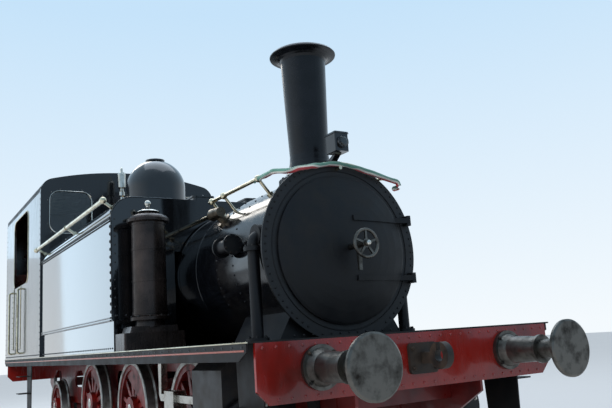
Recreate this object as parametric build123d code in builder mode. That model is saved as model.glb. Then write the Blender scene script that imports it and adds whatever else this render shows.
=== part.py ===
"""Side-tank steam locomotive with outside cylinders, standing on its own wheels.

Frame: +X forward, +Y to the left, +Z up, in millimetres. The origin is at mid-length
between the buffer beams, on the centre line, level with the bottom of the wheel flanges.
"""
from build123d import *
import math
import os

os.makedirs("parts", exist_ok=True)

# General
plate = 12
running_gap = 0.3
seat_gap = 0.3
left, right = 1, -1
hands = ((left, "left"), (right, "right"))

# Buffer beams and buffers
beam_back = 5000
beam_thickness = 25
beam_half_width = 1350
beam_bottom = 880
buffer_spacing = 1750
buffer_height = 1088
buffer_reach = 620
buffer_stock_length = 360
buffer_base_radius = 150
buffer_stock_radius = 105
buffer_ram_radius = 70
buffer_head_radius = 205
buffer_head_thickness = 40
hook_height = buffer_height

# Running board
board_half_width = 1400
board_top = 1284
board_bottom = board_top - plate
valance_bottom = 1160
valance_thickness = 15

# Main frame plates
frame_plate = 25
frame_outer = 600
frame_bottom = 520
frame_end_bottom = 800
frame_middle = frame_outer - frame_plate / 2
frame_inner = frame_outer - frame_plate
horn_half_width = 230
horn_depth = 200
slot_width = 250
slot_above_axle = 150
frame_cross_places = (4650, 3900, 3250, 1620, -240, -2300, -4300)
frame_cross_bottom = 740
frame_hole_z = 900
frame_hole_height = 260
frame_rear_holes = (-2750, -4300)

# Wheels and axles
flange_depth = 28
tyre_back = 680
tyre_face = 815
rim_depth = 115
hub_back = 665
hub_face = 835
hub_radius = 150
spoke_plane = 748
spoke_thickness = 56
spoke_root = 64
spoke_tip = 46
axle_radius = 80
coupled_radius = 575
trailing_radius = 425
coupled_x = (2550, 700, -1150)
trailing_x = -3450
coupled_z = coupled_radius + flange_depth
trailing_z = trailing_radius + flange_depth
throw = 280
crank_angle = {left: -30, right: -120}
boss_radius = 105
boss_depth = 110
side_pin_radius = 45
main_pin_radius = 58
side_pin_end = 922
main_pin_end = 955
collar_radius = 74

# Rods, crossheads and slide bars
side_rod_y = 880
side_rod_width = 60
side_rod_height = 96
side_rod_eye = 92
rod_web = 36
flute_depth = 8
main_rod_y = 995
main_rod_width = 60
main_rod_length = 2100
main_rod_eye = 76
big_end_length = 250
big_end_height = 220
wrist_pin_radius = 40
crosshead_inner = 962
crosshead_outer = 1028
crosshead_cheek = 30
crosshead_back = 130
crosshead_front = 110
bar_bottom = 185
bar_height = 65
bar_width = 64
bar_behind = 470
slipper = 35
piston_rod_radius = 35
piston_rod_length = 1100

# Cylinders
cylinder_ahead = 760
cylinder_length = 690
gland_length = 130
crosshead_middle = coupled_x[1] + main_rod_length
cylinder_back = crosshead_middle + cylinder_ahead
cylinder_front = cylinder_back + cylinder_length
gland_back = cylinder_back - gland_length
bar_back = crosshead_middle - bar_behind
cylinder_y = main_rod_y
cylinder_radius = 270
cylinder_cover_radius = 282
cover_thickness = 45
gland_radius = 92
chest_top = 1180
chest_side = 1215

# Boiler, smokebox and door
boiler_z = 2015
boiler_radius = 685
boiler_front = 3020
smokebox_radius = 705
smokebox_wall = 20
smokebox_front = 4105
front_plate_radius = 785
crown_top = boiler_z + front_plate_radius
front_plate_thickness = 20
door_opening = 590
door_radius = 645
door_dish = 105
door_wall = 16
door_hinge_y = 715
door_hinge_x = 4175
strap_spread = 260
strap_width = 46
strap_proud = 14
knuckle_radius = 24
hinge_pin_radius = 12
handwheel_x = 4470
handwheel_radius = 128
tube_plate = 40
firebox_front = -500
firebox_half_width = 530
firebox_bottom = 730

# Chimney, dome, whistle and lamp
chimney_x = 3695
chimney_foot_top = 2950
chimney_waist = 183
chimney_top_radius = 215
chimney_rim_radius = 315
chimney_top_z = 3996
chimney_neck_z = chimney_top_z - 116
chimney_rim_z = chimney_top_z - 57
chimney_bore = 150
chimney_mouth = 156
mouth_depth = 100
chimney_foot_radius = 300
chimney_seat_z = 2615
chimney_flare_z = 2725
dome_x = -577
dome_radius = 426
dome_top = 4015
whistle_x = -1425
whistle_y = -252
whistle_top = 4110
# Radius and drop below the top, from the stem over the bell to the tip
whistle_turnings = (
    (26, 470),
    (48, 450),
    (48, 390),
    (30, 370),
    (30, 340),
    (62, 320),
    (62, 110),
    (50, 80),
    (20, 64),
    (20, 10),
    (10, 0),
)
lamp_x = 4165
lamp_bottom = 2862
lamp_size = 160

# Side tanks
tank_front = 1953
tank_half_width = 1380
tank_inner = 700
tank_top = 2880
tank_bottom = 1590
tank_skirt = 15
tank_corner = 240
tank_arch_gap = 10
tank_arch_foot = 2300
filler_x = 1770
filler_y = 325
filler_length = 330
filler_width = 240
filler_wall = 16
filler_height = 40
filler_pocket = 130
lid_overlap = 14
lid_thickness = 18

# Cab
cab_front = -1725
cab_wall = 30
cab_half_width = 1400
cab_back = -4950
cab_corner = 220
cab_crown = 4107
roof_radius = 5000
roof_thickness = 40
window_sill = 2480
window_top = 3660
window_front = -2725
window_back = -4075
window_corner = 150
door_front = -3375
cab_floor_top = 1430
floor_board = 30
front_window_inner = 640
front_window_outer = 1268
front_window_bottom = 3100
front_window_top = 3760
front_window_corner = 150
glass = 6
bunker_front = -4160
bunker_top = 2750
backhead_back = -2120
backhead_half_width = 580
back_window_y = 760
back_window_z = 3330
back_window_size = 520
back_window_corner = 120

# Air pump, pipes and handrails
pump_x = 2190
pump_y = -1065
pump_radius = 215
pump_bottom = 1600
pump_top = 2590
pump_box_top = 1449
rail_radius = 24
tank_rail_y = 1440
tank_rail_z = 2845
tank_rail_front = 1880
tank_rail_back = -1800
boiler_rail_y = 566
boiler_rail_z = 2700
boiler_rail_radius = 18
boiler_rail_back = 2640
rail_crown = 2786
rail_corner_y = 500
rail_corner_z = 2664
steam_pipe_x = 3925
steam_pipe_y = 760
steam_pipe_radius = 50
steam_elbow_z = 2150
clack_x = 3600
clack_y = 795
clack_z = 2124
clack_radius = 62
clack_flange_radius = 90
blower_x = 2880
blower_y = -620
blower_z = 2535


def stepped(start, knee, end, count):
    """Points of a soft curve that leaves one end towards a knee, made of short straights."""
    points = []
    for i in range(count + 1):
        share = i / count
        weights = ((1 - share) ** 2, 2 * share * (1 - share), share**2)
        points.append(tuple(sum(w * p[k] for w, p in zip(weights, (start, knee, end))) for k in (0, 1)))
    return points


def across(y):
    """Side-view plane at y: sketch X along the engine, sketch Y upwards."""
    return Plane.XZ.offset(-y)


def along(x):
    """End-view plane at x: sketch X to the left, sketch Y upwards, normal forward."""
    return Plane.YZ.offset(x)


def level(z):
    """Plan-view plane at height z."""
    return Plane.XY.offset(z)


def save(piece, node):
    """Label a finished piece and write its file."""
    piece.part.label = node
    export_step(piece.part, f"parts/{node}.step")


def polar(radius, degrees):
    """Point of a side view at an angle measured from forward towards up."""
    return radius * math.cos(math.radians(degrees)), radius * math.sin(math.radians(degrees))


def crank_pin(axle_x, side):
    """Centre of the crank pin of a coupled axle, as x and z."""
    out, up = polar(throw, crank_angle[side])
    return axle_x + out, coupled_z + up


def cross_head(side):
    """Place of the wrist pin along the engine, from the crank and the rod's length."""
    pin_x, pin_z = crank_pin(coupled_x[1], side)
    return pin_x + math.sqrt(main_rod_length**2 - (pin_z - coupled_z) ** 2)


# Main frame plates, one each side, with a slot for every axlebox
axles = tuple((x, coupled_z) for x in coupled_x) + ((trailing_x, trailing_z),)
for side, hand in hands:
    with BuildPart() as frame_side:
        with BuildSketch(across(side * frame_middle)):
            with BuildLine():
                Polyline(
                    (-beam_back, frame_end_bottom),
                    (-beam_back, board_bottom),
                    (beam_back, board_bottom),
                    (beam_back, frame_end_bottom),
                    (beam_back - 500, frame_bottom),
                    (500 - beam_back, frame_bottom),
                    (-beam_back, frame_end_bottom),
                )
            make_face()
            for axle_x, axle_z in axles:
                with Locations((axle_x, axle_z + slot_above_axle)):
                    horn_height = slot_above_axle + horn_depth
                    Rectangle(2 * horn_half_width, horn_height, align=(Align.CENTER, Align.MAX))
            for axle_x, axle_z in axles:
                with Locations((axle_x, axle_z + slot_above_axle)):
                    Rectangle(slot_width, 600, align=(Align.CENTER, Align.MAX), mode=Mode.SUBTRACT)
            with Locations(*[((a + b) / 2, frame_hole_z) for a, b in zip(coupled_x, coupled_x[1:])]):
                SlotOverall(900, frame_hole_height, mode=Mode.SUBTRACT)
            with Locations(*[(place, frame_hole_z) for place in frame_rear_holes]):
                SlotOverall(560, frame_hole_height, mode=Mode.SUBTRACT)
        extrude(amount=frame_plate / 2, both=True)
    save(frame_side, f"frame_{hand}")

# Cross plates between the frame plates
with BuildPart() as frame_cross:
    for place in frame_cross_places:
        with BuildSketch(along(place)):
            with Locations((0, board_bottom)):
                Rectangle(2 * frame_inner, board_bottom - frame_cross_bottom, align=(Align.CENTER, Align.MAX))
            with Locations((0, (board_bottom + frame_cross_bottom) / 2)):
                SlotOverall(700, 240, mode=Mode.SUBTRACT)
        extrude(amount=frame_plate / 2, both=True)
save(frame_cross, "frame_cross_plates")

# Buffer beams
beam_chamfer = 90
with BuildPart() as buffer_beams:
    with BuildSketch(along(beam_back)):
        with BuildLine():
            Polyline(
                (-beam_half_width, board_bottom),
                (beam_half_width, board_bottom),
                (beam_half_width, beam_bottom + beam_chamfer),
                (beam_half_width - beam_chamfer, beam_bottom),
                (beam_chamfer - beam_half_width, beam_bottom),
                (-beam_half_width, beam_bottom + beam_chamfer),
                (-beam_half_width, board_bottom),
            )
        make_face()
    extrude(amount=beam_thickness)
    mirror(about=Plane.YZ)
save(buffer_beams, "buffer_beams")

# Buffers: flanged stock, ram and round head
beam_face = beam_back + beam_thickness
buffer_foot = (beam_face, buffer_spacing / 2, buffer_height)
with BuildPart() as buffers:
    with BuildSketch(Plane(origin=buffer_foot, x_dir=(1, 0, 0), z_dir=(0, -1, 0))):
        with BuildLine():
            Polyline(
                (0, 0),
                (0, buffer_base_radius),
                (30, buffer_base_radius),
                (30, buffer_stock_radius + 22),
                (90, buffer_stock_radius),
                (buffer_stock_length - 25, buffer_stock_radius - 12),
                (buffer_stock_length - 25, buffer_stock_radius),
                (buffer_stock_length, buffer_stock_radius),
                (buffer_stock_length, buffer_ram_radius),
                (buffer_reach - buffer_head_thickness, buffer_ram_radius),
                (buffer_reach - buffer_head_thickness + 12, buffer_head_radius),
                (buffer_reach - 10, buffer_head_radius),
                (buffer_reach, buffer_head_radius - 14),
                (buffer_reach, 0),
                (0, 0),
            )
        make_face()
    revolve(axis=Axis((0, buffer_spacing / 2, buffer_height), (1, 0, 0)))
    mirror(about=Plane.XZ)
    mirror(about=Plane.YZ)
save(buffers, "buffers")

# Draw hooks with their plates, each hook's throat open at the top
hook_plate = 25
hook_eye_radius = 42
hook_throat = (beam_face + 215, hook_height + 15)
with BuildPart() as draw_hooks:
    with BuildSketch(along(beam_face)):
        with Locations((0, hook_height)):
            RectangleRounded(260, 220, 30)
    extrude(amount=hook_plate)
    with BuildSketch(across(0)):
        with Locations((beam_face + hook_plate, hook_height)):
            Rectangle(150, 80, align=(Align.MIN, Align.CENTER))
        with Locations(hook_throat):
            Circle(95)
            Circle(hook_eye_radius, mode=Mode.SUBTRACT)
            Rectangle(44, 120, align=(Align.CENTER, Align.MIN), mode=Mode.SUBTRACT)
    extrude(amount=28, both=True)
    mirror(about=Plane.YZ)
save(draw_hooks, "draw_hooks")

# Running board with the opening for the firebox
with BuildPart() as running_board:
    with BuildSketch(level(board_bottom)):
        Rectangle(2 * beam_face, 2 * board_half_width)
        with Locations(((cab_front + firebox_front) / 2, 0)):
            Rectangle(firebox_front - cab_front + 20, 2 * frame_inner, mode=Mode.SUBTRACT)
    extrude(amount=plate)
save(running_board, "running_board")

# Valances under both edges of the running board
with BuildPart() as valances:
    with BuildSketch(across(board_half_width - valance_thickness / 2)):
        with BuildLine():
            Polyline(
                (-beam_back, board_bottom),
                (beam_back, board_bottom),
                (beam_back, valance_bottom + 60),
                (beam_back - 120, valance_bottom),
                (120 - beam_back, valance_bottom),
                (-beam_back, valance_bottom + 60),
                (-beam_back, board_bottom),
            )
        make_face()
    extrude(amount=valance_thickness / 2, both=True)
    mirror(about=Plane.XZ)
save(valances, "valances")

# Footsteps: hanging plates with treads, columns place, plate bottom, tread heights
step_plate_y = 1190
step_tread_half = 170
step_tread_reach = cab_half_width - 25 - step_plate_y
step_table = (
    (cylinder_front + 370, 420, (440, 830)),
    ((door_front + window_back) / 2, 400, (420, 700, 980)),
)
with BuildPart() as footsteps:
    for place, bottom, treads in step_table:
        with BuildSketch(across(step_plate_y)):
            with BuildLine():
                Polyline(
                    (place - step_tread_half, bottom),
                    (place - step_tread_half - 40, board_bottom),
                    (place + step_tread_half + 40, board_bottom),
                    (place + step_tread_half, bottom),
                    (place - step_tread_half, bottom),
                )
            make_face()
        extrude(amount=plate / 2, both=True)
        for tread in treads:
            with BuildSketch(level(tread)):
                with Locations((place, step_plate_y)):
                    Rectangle(2 * step_tread_half, step_tread_reach, align=(Align.CENTER, Align.MIN))
            extrude(amount=plate)
    mirror(about=Plane.XZ)
save(footsteps, "footsteps")

# Guard irons in front of the first and behind the last wheels
guard_x = cylinder_front + 230
with BuildPart() as guard_irons:
    with BuildSketch(across(frame_outer + 15)):
        with BuildLine():
            Polyline(
                (guard_x - 70, 900),
                (guard_x + 70, 900),
                (guard_x + 60, 420),
                (guard_x + 190, 130),
                (guard_x + 90, 130),
                (guard_x - 40, 400),
                (guard_x - 70, 900),
            )
        make_face()
    extrude(amount=15, both=True)
    mirror(about=Plane.XZ)
    mirror(about=Plane.YZ)
save(guard_irons, "guard_irons")

# Axleboxes in the frame slots
box_height = 2 * slot_above_axle - 20
with BuildPart() as axleboxes:
    for axle_x, axle_z in axles:
        with BuildSketch(across(frame_middle)):
            with Locations((axle_x, axle_z + slot_above_axle)):
                Rectangle(slot_width, box_height, align=(Align.CENTER, Align.MAX))
            with Locations((axle_x, axle_z)):
                Circle(axle_radius + running_gap, mode=Mode.SUBTRACT)
        extrude(amount=50, both=True)
    mirror(about=Plane.XZ)
save(axleboxes, "axleboxes")

# Leaf springs under the axleboxes, columns leaf length
leaf_lengths = (860, 760, 660, 560, 460, 360)
leaf_thickness = 14
spring_drop = 232
with BuildPart() as springs:
    for axle_x, axle_z in axles:
        spring_top = axle_z - spring_drop
        box_foot = axle_z + slot_above_axle - box_height
        with BuildSketch(across(frame_middle)):
            for row, leaf in enumerate(leaf_lengths):
                with Locations((axle_x, spring_top - row * leaf_thickness)):
                    Rectangle(leaf, leaf_thickness, align=(Align.CENTER, Align.MAX))
            with Locations((axle_x, box_foot)):
                Rectangle(90, box_foot - spring_top + 100, align=(Align.CENTER, Align.MAX))
        extrude(amount=42, both=True)
        with BuildSketch(across(frame_middle)):
            for end in (-1, 1):
                with Locations((axle_x + end * (leaf_lengths[0] / 2 - 25), frame_bottom)):
                    Rectangle(30, frame_bottom - spring_top + 20, align=(Align.CENTER, Align.MAX))
        extrude(amount=15, both=True)
    mirror(about=Plane.XZ)
save(springs, "springs")

# Wheelsets: columns node, axle place, tread radius, spokes, coupled, driven
wheelset_table = (
    ("front_wheelset", coupled_x[0], coupled_radius, 12, True, False),
    ("driving_wheelset", coupled_x[1], coupled_radius, 12, True, True),
    ("rear_wheelset", coupled_x[2], coupled_radius, 12, True, False),
    ("trailing_wheelset", trailing_x, trailing_radius, 10, False, False),
)
for node, axle_x, radius, spoke_count, coupled, driven in wheelset_table:
    axle_z = radius + flange_depth
    rim_radius = radius - rim_depth
    with BuildPart() as wheelset:
        with BuildSketch(Plane(origin=(axle_x, 0, axle_z), x_dir=(0, 1, 0), z_dir=(1, 0, 0))):
            with BuildLine():
                Polyline(
                    (0, 0),
                    (hub_face, 0),
                    (hub_face, hub_radius),
                    (hub_back, hub_radius),
                    (hub_back, axle_radius),
                    (0, axle_radius),
                    (0, 0),
                )
            make_face()
            with BuildLine():
                Polyline(
                    (tyre_back, rim_radius),
                    (tyre_back, radius + flange_depth - 10),
                    (tyre_back + 10, radius + flange_depth),
                    (tyre_back + 22, radius + flange_depth),
                    (tyre_back + 36, radius + 2),
                    (tyre_face - 8, radius - 4),
                    (tyre_face, radius - 12),
                    (tyre_face, radius - 58),
                    (tyre_face - 16, radius - 64),
                    (tyre_face - 16, rim_radius),
                    (tyre_back, rim_radius),
                )
            make_face()
            mirror(about=Plane.YZ)
        revolve(axis=Axis((axle_x, 0, axle_z), (0, 1, 0)))
        for side, hand in hands:
            angle = crank_angle[side]
            middle = Plane(origin=(axle_x, side * spoke_plane, axle_z), x_dir=(1, 0, 0), z_dir=(0, -1, 0))
            outside = Plane(origin=(axle_x, side * hub_face, axle_z), x_dir=(1, 0, 0), z_dir=(0, -1, 0))
            with BuildSketch(middle):
                with PolarLocations(0, spoke_count, start_angle=angle + 180 / spoke_count):
                    Polygon(
                        (hub_radius - 30, -spoke_root / 2),
                        (rim_radius + 15, -spoke_tip / 2),
                        (rim_radius + 15, spoke_tip / 2),
                        (hub_radius - 30, spoke_root / 2),
                        align=None,
                    )
            extrude(amount=spoke_thickness / 2, both=True)
            if coupled:
                chord = (0.45 if driven else 0.66) * rim_radius
                depth = rim_radius + 20 - chord
                with BuildSketch(middle):
                    Circle(rim_radius + 10)
                    with Locations(Location((*polar(-chord - depth / 2, angle), 0), (0, 0, angle))):
                        Rectangle(depth, 2 * rim_radius, mode=Mode.INTERSECT)
                extrude(amount=spoke_thickness / 2 + 6, both=True)
                with BuildSketch(outside):
                    Circle(hub_radius)
                    with Locations(polar(throw, angle)):
                        Circle(boss_radius)
                    make_hull()
                extrude(amount=side * boss_depth)
                pin_end = main_pin_end if driven else side_pin_end
                pin_radius = main_pin_radius if driven else side_pin_radius
                with BuildSketch(outside):
                    with Locations(polar(throw, angle)):
                        Circle(pin_radius)
                extrude(amount=-side * (pin_end - hub_face))
    save(wheelset, node)

# Coupling rods: one fluted rod a side with an eye on each crank pin
for side, hand in hands:
    eyes = [crank_pin(x, side) for x in coupled_x]
    rod_middle = across(side * side_rod_y)
    bays = ((eyes[0][0], eyes[1][0]), (eyes[1][0], eyes[2][0]))
    with BuildPart() as coupling_rod:
        with BuildSketch(rod_middle):
            for bay_front, bay_back in bays:
                with Locations(((bay_front + bay_back) / 2, eyes[0][1])):
                    Rectangle(bay_front - bay_back, side_rod_height)
        extrude(amount=rod_web / 2, both=True)
        with BuildSketch(rod_middle):
            with Locations(*eyes):
                Circle(side_rod_eye)
            with Locations((eyes[1][0] - 230, eyes[0][1])):
                Circle(side_rod_eye - 24)
            with Locations((eyes[0][0], eyes[0][1] + side_rod_eye), (eyes[2][0], eyes[0][1] + side_rod_eye)):
                Rectangle(44, 60)
            with Locations((eyes[1][0], eyes[0][1] + side_rod_eye)):
                Rectangle(44, 60)
        extrude(amount=side_rod_width / 2, both=True)
        with BuildSketch(across(side * (side_rod_y + rod_web / 2))):
            with Locations(((eyes[0][0] + eyes[1][0]) / 2, eyes[0][1])):
                Rectangle(bays[0][0] - bays[0][1] - 280, side_rod_height - 44)
            with Locations(((eyes[1][0] - 230 + eyes[2][0]) / 2, eyes[0][1])):
                Rectangle(bays[1][0] - bays[1][1] - 480, side_rod_height - 44)
        extrude(amount=side * flute_depth, mode=Mode.SUBTRACT)
        with BuildSketch(rod_middle):
            with Locations(eyes[0], eyes[2]):
                Circle(side_pin_radius + running_gap)
            with Locations(eyes[1]):
                Circle(main_pin_radius + running_gap)
        extrude(amount=side_rod_width, both=True, mode=Mode.SUBTRACT)
    save(coupling_rod, f"coupling_rod_{hand}")

# Connecting rods: from the wrist pin back to just outside the end of the main crank pin
for side, hand in hands:
    pin_x, pin_z = crank_pin(coupled_x[1], side)
    head_x = cross_head(side)
    rod_plane = Plane(
        origin=(head_x, side * main_rod_y, coupled_z),
        x_dir=(pin_x - head_x, 0, pin_z - coupled_z),
        z_dir=(0, -1, 0),
    )
    with BuildPart() as connecting_rod:
        with BuildSketch(rod_plane):
            Polygon((0, -44), (main_rod_length, -62), (main_rod_length, 62), (0, 44), align=None)
        extrude(amount=rod_web / 2, both=True)
        with BuildSketch(rod_plane):
            Circle(main_rod_eye)
            with Locations((main_rod_length, 0)):
                RectangleRounded(big_end_length, big_end_height, 30)
            with Locations((main_rod_length, -big_end_height / 2), (0, -main_rod_eye)):
                Rectangle(50, 60)
        extrude(amount=main_rod_width / 2, both=True)
        with BuildSketch(rod_plane.offset(-side * rod_web / 2)):
            Polygon(
                (main_rod_eye + 40, -24),
                (main_rod_length - big_end_length / 2 - 60, -38),
                (main_rod_length - big_end_length / 2 - 60, 38),
                (main_rod_eye + 40, 24),
                align=None,
            )
        extrude(amount=side * flute_depth, mode=Mode.SUBTRACT)
        with BuildSketch(rod_plane.offset(-side * main_rod_width / 2)):
            with Locations((main_rod_length, 0)):
                Circle(collar_radius)
        extrude(amount=-side * 22)
        with BuildSketch(rod_plane):
            Circle(wrist_pin_radius + running_gap)
        extrude(amount=main_rod_width, both=True, mode=Mode.SUBTRACT)
    save(connecting_rod, f"connecting_rod_{hand}")

# Crossheads: two cheeks round the slide bar, wrist pin and piston rod
slide_bottom = coupled_z + bar_bottom
slide_top = slide_bottom + bar_height
for side, hand in hands:
    head_x = cross_head(side)
    cheek_middle = (crosshead_inner + crosshead_outer) / 2
    head_plane = across(side * cheek_middle)
    outer_half = (crosshead_outer - crosshead_inner) / 2 + crosshead_cheek
    with BuildPart() as crosshead:
        with BuildSketch(head_plane):
            with BuildLine():
                Polyline(
                    (head_x - crosshead_back, slide_top + slipper),
                    (head_x - crosshead_back, slide_bottom - slipper - 30),
                    (head_x - 95, coupled_z - 40),
                    (head_x - 40, coupled_z - 95),
                    (head_x + 60, coupled_z - 95),
                    (head_x + crosshead_front, coupled_z - 55),
                    (head_x + crosshead_front, slide_top + slipper),
                    (head_x - crosshead_back, slide_top + slipper),
                )
            make_face()
        extrude(amount=outer_half, both=True)
        with BuildSketch(head_plane):
            with Locations((head_x - crosshead_back, slide_bottom - slipper)):
                Rectangle(crosshead_back + 85, 600, align=(Align.MIN, Align.MAX))
        extrude(amount=outer_half - crosshead_cheek, both=True, mode=Mode.SUBTRACT)
        with BuildSketch(head_plane):
            with Locations((head_x, (slide_bottom + slide_top) / 2)):
                Rectangle(600, bar_height + 2 * seat_gap)
        extrude(amount=outer_half - crosshead_cheek, both=True, mode=Mode.SUBTRACT)
        with BuildSketch(head_plane):
            with Locations((head_x, coupled_z)):
                Circle(wrist_pin_radius)
        extrude(amount=outer_half, both=True)
        with BuildSketch(along(head_x + crosshead_front)):
            with Locations((side * cheek_middle, coupled_z)):
                Circle(56)
        extrude(amount=80)
        with BuildSketch(along(head_x + crosshead_front)):
            with Locations((side * cheek_middle, coupled_z)):
                Circle(piston_rod_radius)
        extrude(amount=piston_rod_length - crosshead_front)
    save(crosshead, f"crosshead_{hand}")

# Cylinders with their covers, glands, steam chests and mounting webs
chest_inset = 60
chest_foot = 430
with BuildPart() as cylinders:
    for side, hand in hands:
        axis_point = (side * cylinder_y, coupled_z)
        with BuildSketch(along(cylinder_back)):
            with Locations(axis_point):
                Circle(cylinder_radius)
        extrude(amount=cylinder_length)
        with BuildSketch(along(cylinder_back), along(cylinder_front - cover_thickness)):
            with Locations(axis_point):
                Circle(cylinder_cover_radius)
        extrude(amount=cover_thickness)
        with BuildSketch(along(cylinder_front)):
            with Locations(axis_point):
                Circle(150)
        extrude(amount=40, taper=30)
        with BuildSketch(along(gland_back)):
            with Locations(axis_point):
                Circle(gland_radius)
        extrude(amount=gland_length)
        with BuildSketch(along(cylinder_back + chest_inset)):
            with BuildLine():
                Polyline(
                    (side * frame_outer, chest_foot),
                    (side * frame_outer, chest_top),
                    (side * (chest_side - 95), chest_top),
                    (side * chest_side, chest_top - 90),
                    (side * chest_side, coupled_z + 120),
                    (side * cylinder_y, coupled_z),
                    (side * (cylinder_y - 90), chest_foot),
                    (side * frame_outer, chest_foot),
                )
            make_face()
        extrude(amount=cylinder_length - 2 * chest_inset)
        for drain in (cylinder_back + cover_thickness / 2, cylinder_front - cover_thickness / 2):
            with BuildSketch(level(coupled_z - cylinder_cover_radius - 60)):
                with Locations((drain, side * cylinder_y)):
                    Circle(16)
            extrude(amount=90)
        with BuildSketch(along(gland_back)):
            with Locations(axis_point):
                Circle(piston_rod_radius + running_gap)
        extrude(amount=gland_length + cylinder_length - cover_thickness - 15, mode=Mode.SUBTRACT)
save(cylinders, "cylinders")

# Slide bars, hung from the running board at the back and held by the cylinder cover
with BuildPart() as slide_bars:
    for side, hand in hands:
        with BuildSketch(across(side * main_rod_y)):
            with Locations((bar_back, slide_bottom)):
                Rectangle(cylinder_back - bar_back, bar_height, align=(Align.MIN, Align.MIN))
            with BuildLine():
                Polyline(
                    (bar_back - 60, board_bottom),
                    (bar_back - 40, slide_top - 10),
                    (bar_back, slide_bottom),
                    (bar_back + 20, slide_bottom),
                    (bar_back + 20, slide_top),
                    (bar_back + 40, board_bottom),
                    (bar_back - 60, board_bottom),
                )
            make_face()
        extrude(amount=bar_width / 2, both=True)
save(slide_bars, "slide_bars")

# Boiler barrel with the firebox between the frame plates
with BuildPart() as boiler:
    with BuildSketch(along(cab_front)):
        with Locations((0, boiler_z)):
            Circle(boiler_radius)
    extrude(amount=boiler_front - cab_front)
    with BuildSketch(along(cab_front)):
        with Locations((0, firebox_bottom)):
            Rectangle(2 * firebox_half_width, boiler_z - firebox_bottom, align=(Align.CENTER, Align.MIN))
    extrude(amount=firebox_front - cab_front)
save(boiler, "boiler")

# Smokebox: barrel, tube plate and the front plate with the door opening
with BuildPart() as smokebox:
    with BuildSketch(along(boiler_front)):
        with Locations((0, boiler_z)):
            Circle(smokebox_radius)
    extrude(amount=smokebox_front - boiler_front)
    with BuildSketch(along(smokebox_front)):
        with Locations((0, boiler_z)):
            Circle(front_plate_radius)
        with Locations((0, board_top)):
            Rectangle(2 * front_plate_radius, 400, align=(Align.CENTER, Align.MAX), mode=Mode.SUBTRACT)
    extrude(amount=front_plate_thickness)
    with BuildSketch(along(boiler_front + tube_plate)):
        with Locations((0, boiler_z)):
            Circle(smokebox_radius - smokebox_wall)
    extrude(amount=smokebox_front - boiler_front - tube_plate, mode=Mode.SUBTRACT)
    with BuildSketch(along(smokebox_front)):
        with Locations((0, boiler_z)):
            Circle(door_opening)
    extrude(amount=front_plate_thickness, mode=Mode.SUBTRACT)
    with BuildSketch(level(boiler_z)):
        with Locations((chimney_x, 0)):
            Circle(chimney_bore)
    extrude(amount=smokebox_radius + 50, mode=Mode.SUBTRACT)
    for height in (boiler_z - strap_spread, boiler_z + strap_spread):
        with BuildSketch(level(height - strap_width / 2 - 22)):
            with Locations((door_hinge_x, door_hinge_y)):
                Circle(hinge_pin_radius)
        extrude(amount=strap_width + 44)
        for foot in (height - strap_width / 2 - 22, height + strap_width / 2 + 2):
            with BuildSketch(level(foot)):
                with Locations((door_hinge_x, door_hinge_y)):
                    Circle(knuckle_radius)
                with Locations((smokebox_front + front_plate_thickness, door_hinge_y)):
                    Rectangle(
                        door_hinge_x - smokebox_front - front_plate_thickness,
                        2 * knuckle_radius,
                        align=(Align.MIN, Align.CENTER),
                    )
            extrude(amount=20)
save(smokebox, "smokebox")

# Saddle that carries the smokebox on the running board
saddle_foot = 620
saddle_head = 470
saddle_height = 260
with BuildPart() as saddle:
    with BuildSketch(along(boiler_front + 160)):
        with BuildLine():
            Polyline(
                (-saddle_foot, board_top),
                (-saddle_head, board_top + saddle_height),
                (saddle_head, board_top + saddle_height),
                (saddle_foot, board_top),
                (-saddle_foot, board_top),
            )
        make_face()
        with Locations((0, boiler_z)):
            Circle(smokebox_radius, mode=Mode.SUBTRACT)
    extrude(amount=smokebox_front - boiler_front - 225)
save(saddle, "smokebox_saddle")

# Smokebox door: dished plate with two hinge straps that follow its curve
door_back = smokebox_front + front_plate_thickness + seat_gap
door_section = Plane(origin=(door_back, 0, boiler_z), x_dir=(1, 0, 0), z_dir=(0, -1, 0))
door_axis = Axis((0, 0, boiler_z), (1, 0, 0))
strap_heights = (boiler_z - strap_spread, boiler_z + strap_spread)


door_crown = door_dish + door_wall
door_rim = (30, door_radius - 20)
inner_rim = (0, door_opening - 20)
outer_face = stepped((door_crown, 0), (door_crown, door_rim[1] / 2), door_rim, 7)
inner_face = stepped(inner_rim, (door_dish, inner_rim[1] / 2), (door_dish, 0), 6)

with BuildPart() as door_straps:
    with BuildSketch(door_section):
        with BuildLine():
            Polyline(
                *[(x - 8, radius) for x, radius in outer_face],
                *[(x + strap_proud, radius) for x, radius in reversed(outer_face)],
                (door_crown - 8, 0),
            )
        make_face()
    revolve(axis=door_axis)
    with BuildSketch(along(door_back)):
        with Locations(*[(60, height) for height in strap_heights]):
            Rectangle(door_hinge_y, strap_width, align=(Align.MIN, Align.CENTER))
    extrude(amount=2 * door_dish, mode=Mode.INTERSECT)

with BuildPart() as smokebox_door:
    with BuildSketch(door_section):
        with BuildLine():
            Polyline(*outer_face, (22, door_radius), (0, door_radius), *inner_face, (door_crown, 0))
        make_face()
    revolve(axis=door_axis)
    add(door_straps.part)
    for height in strap_heights:
        with BuildSketch(level(height - strap_width / 2)):
            with Locations((door_hinge_x, door_hinge_y)):
                Circle(knuckle_radius)
            Polygon(
                (door_hinge_x + knuckle_radius, door_hinge_y),
                (door_hinge_x - knuckle_radius, door_hinge_y),
                (door_back + 7, door_opening - 10),
                (door_back + 7, door_opening - 40),
                (door_back + 40, door_opening - 40),
                align=None,
            )
        extrude(amount=strap_width)
        with BuildSketch(level(height - strap_width / 2)):
            with Locations((door_hinge_x, door_hinge_y)):
                Circle(hinge_pin_radius + running_gap)
        extrude(amount=strap_width, mode=Mode.SUBTRACT)
save(smokebox_door, "smokebox_door")

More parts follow.
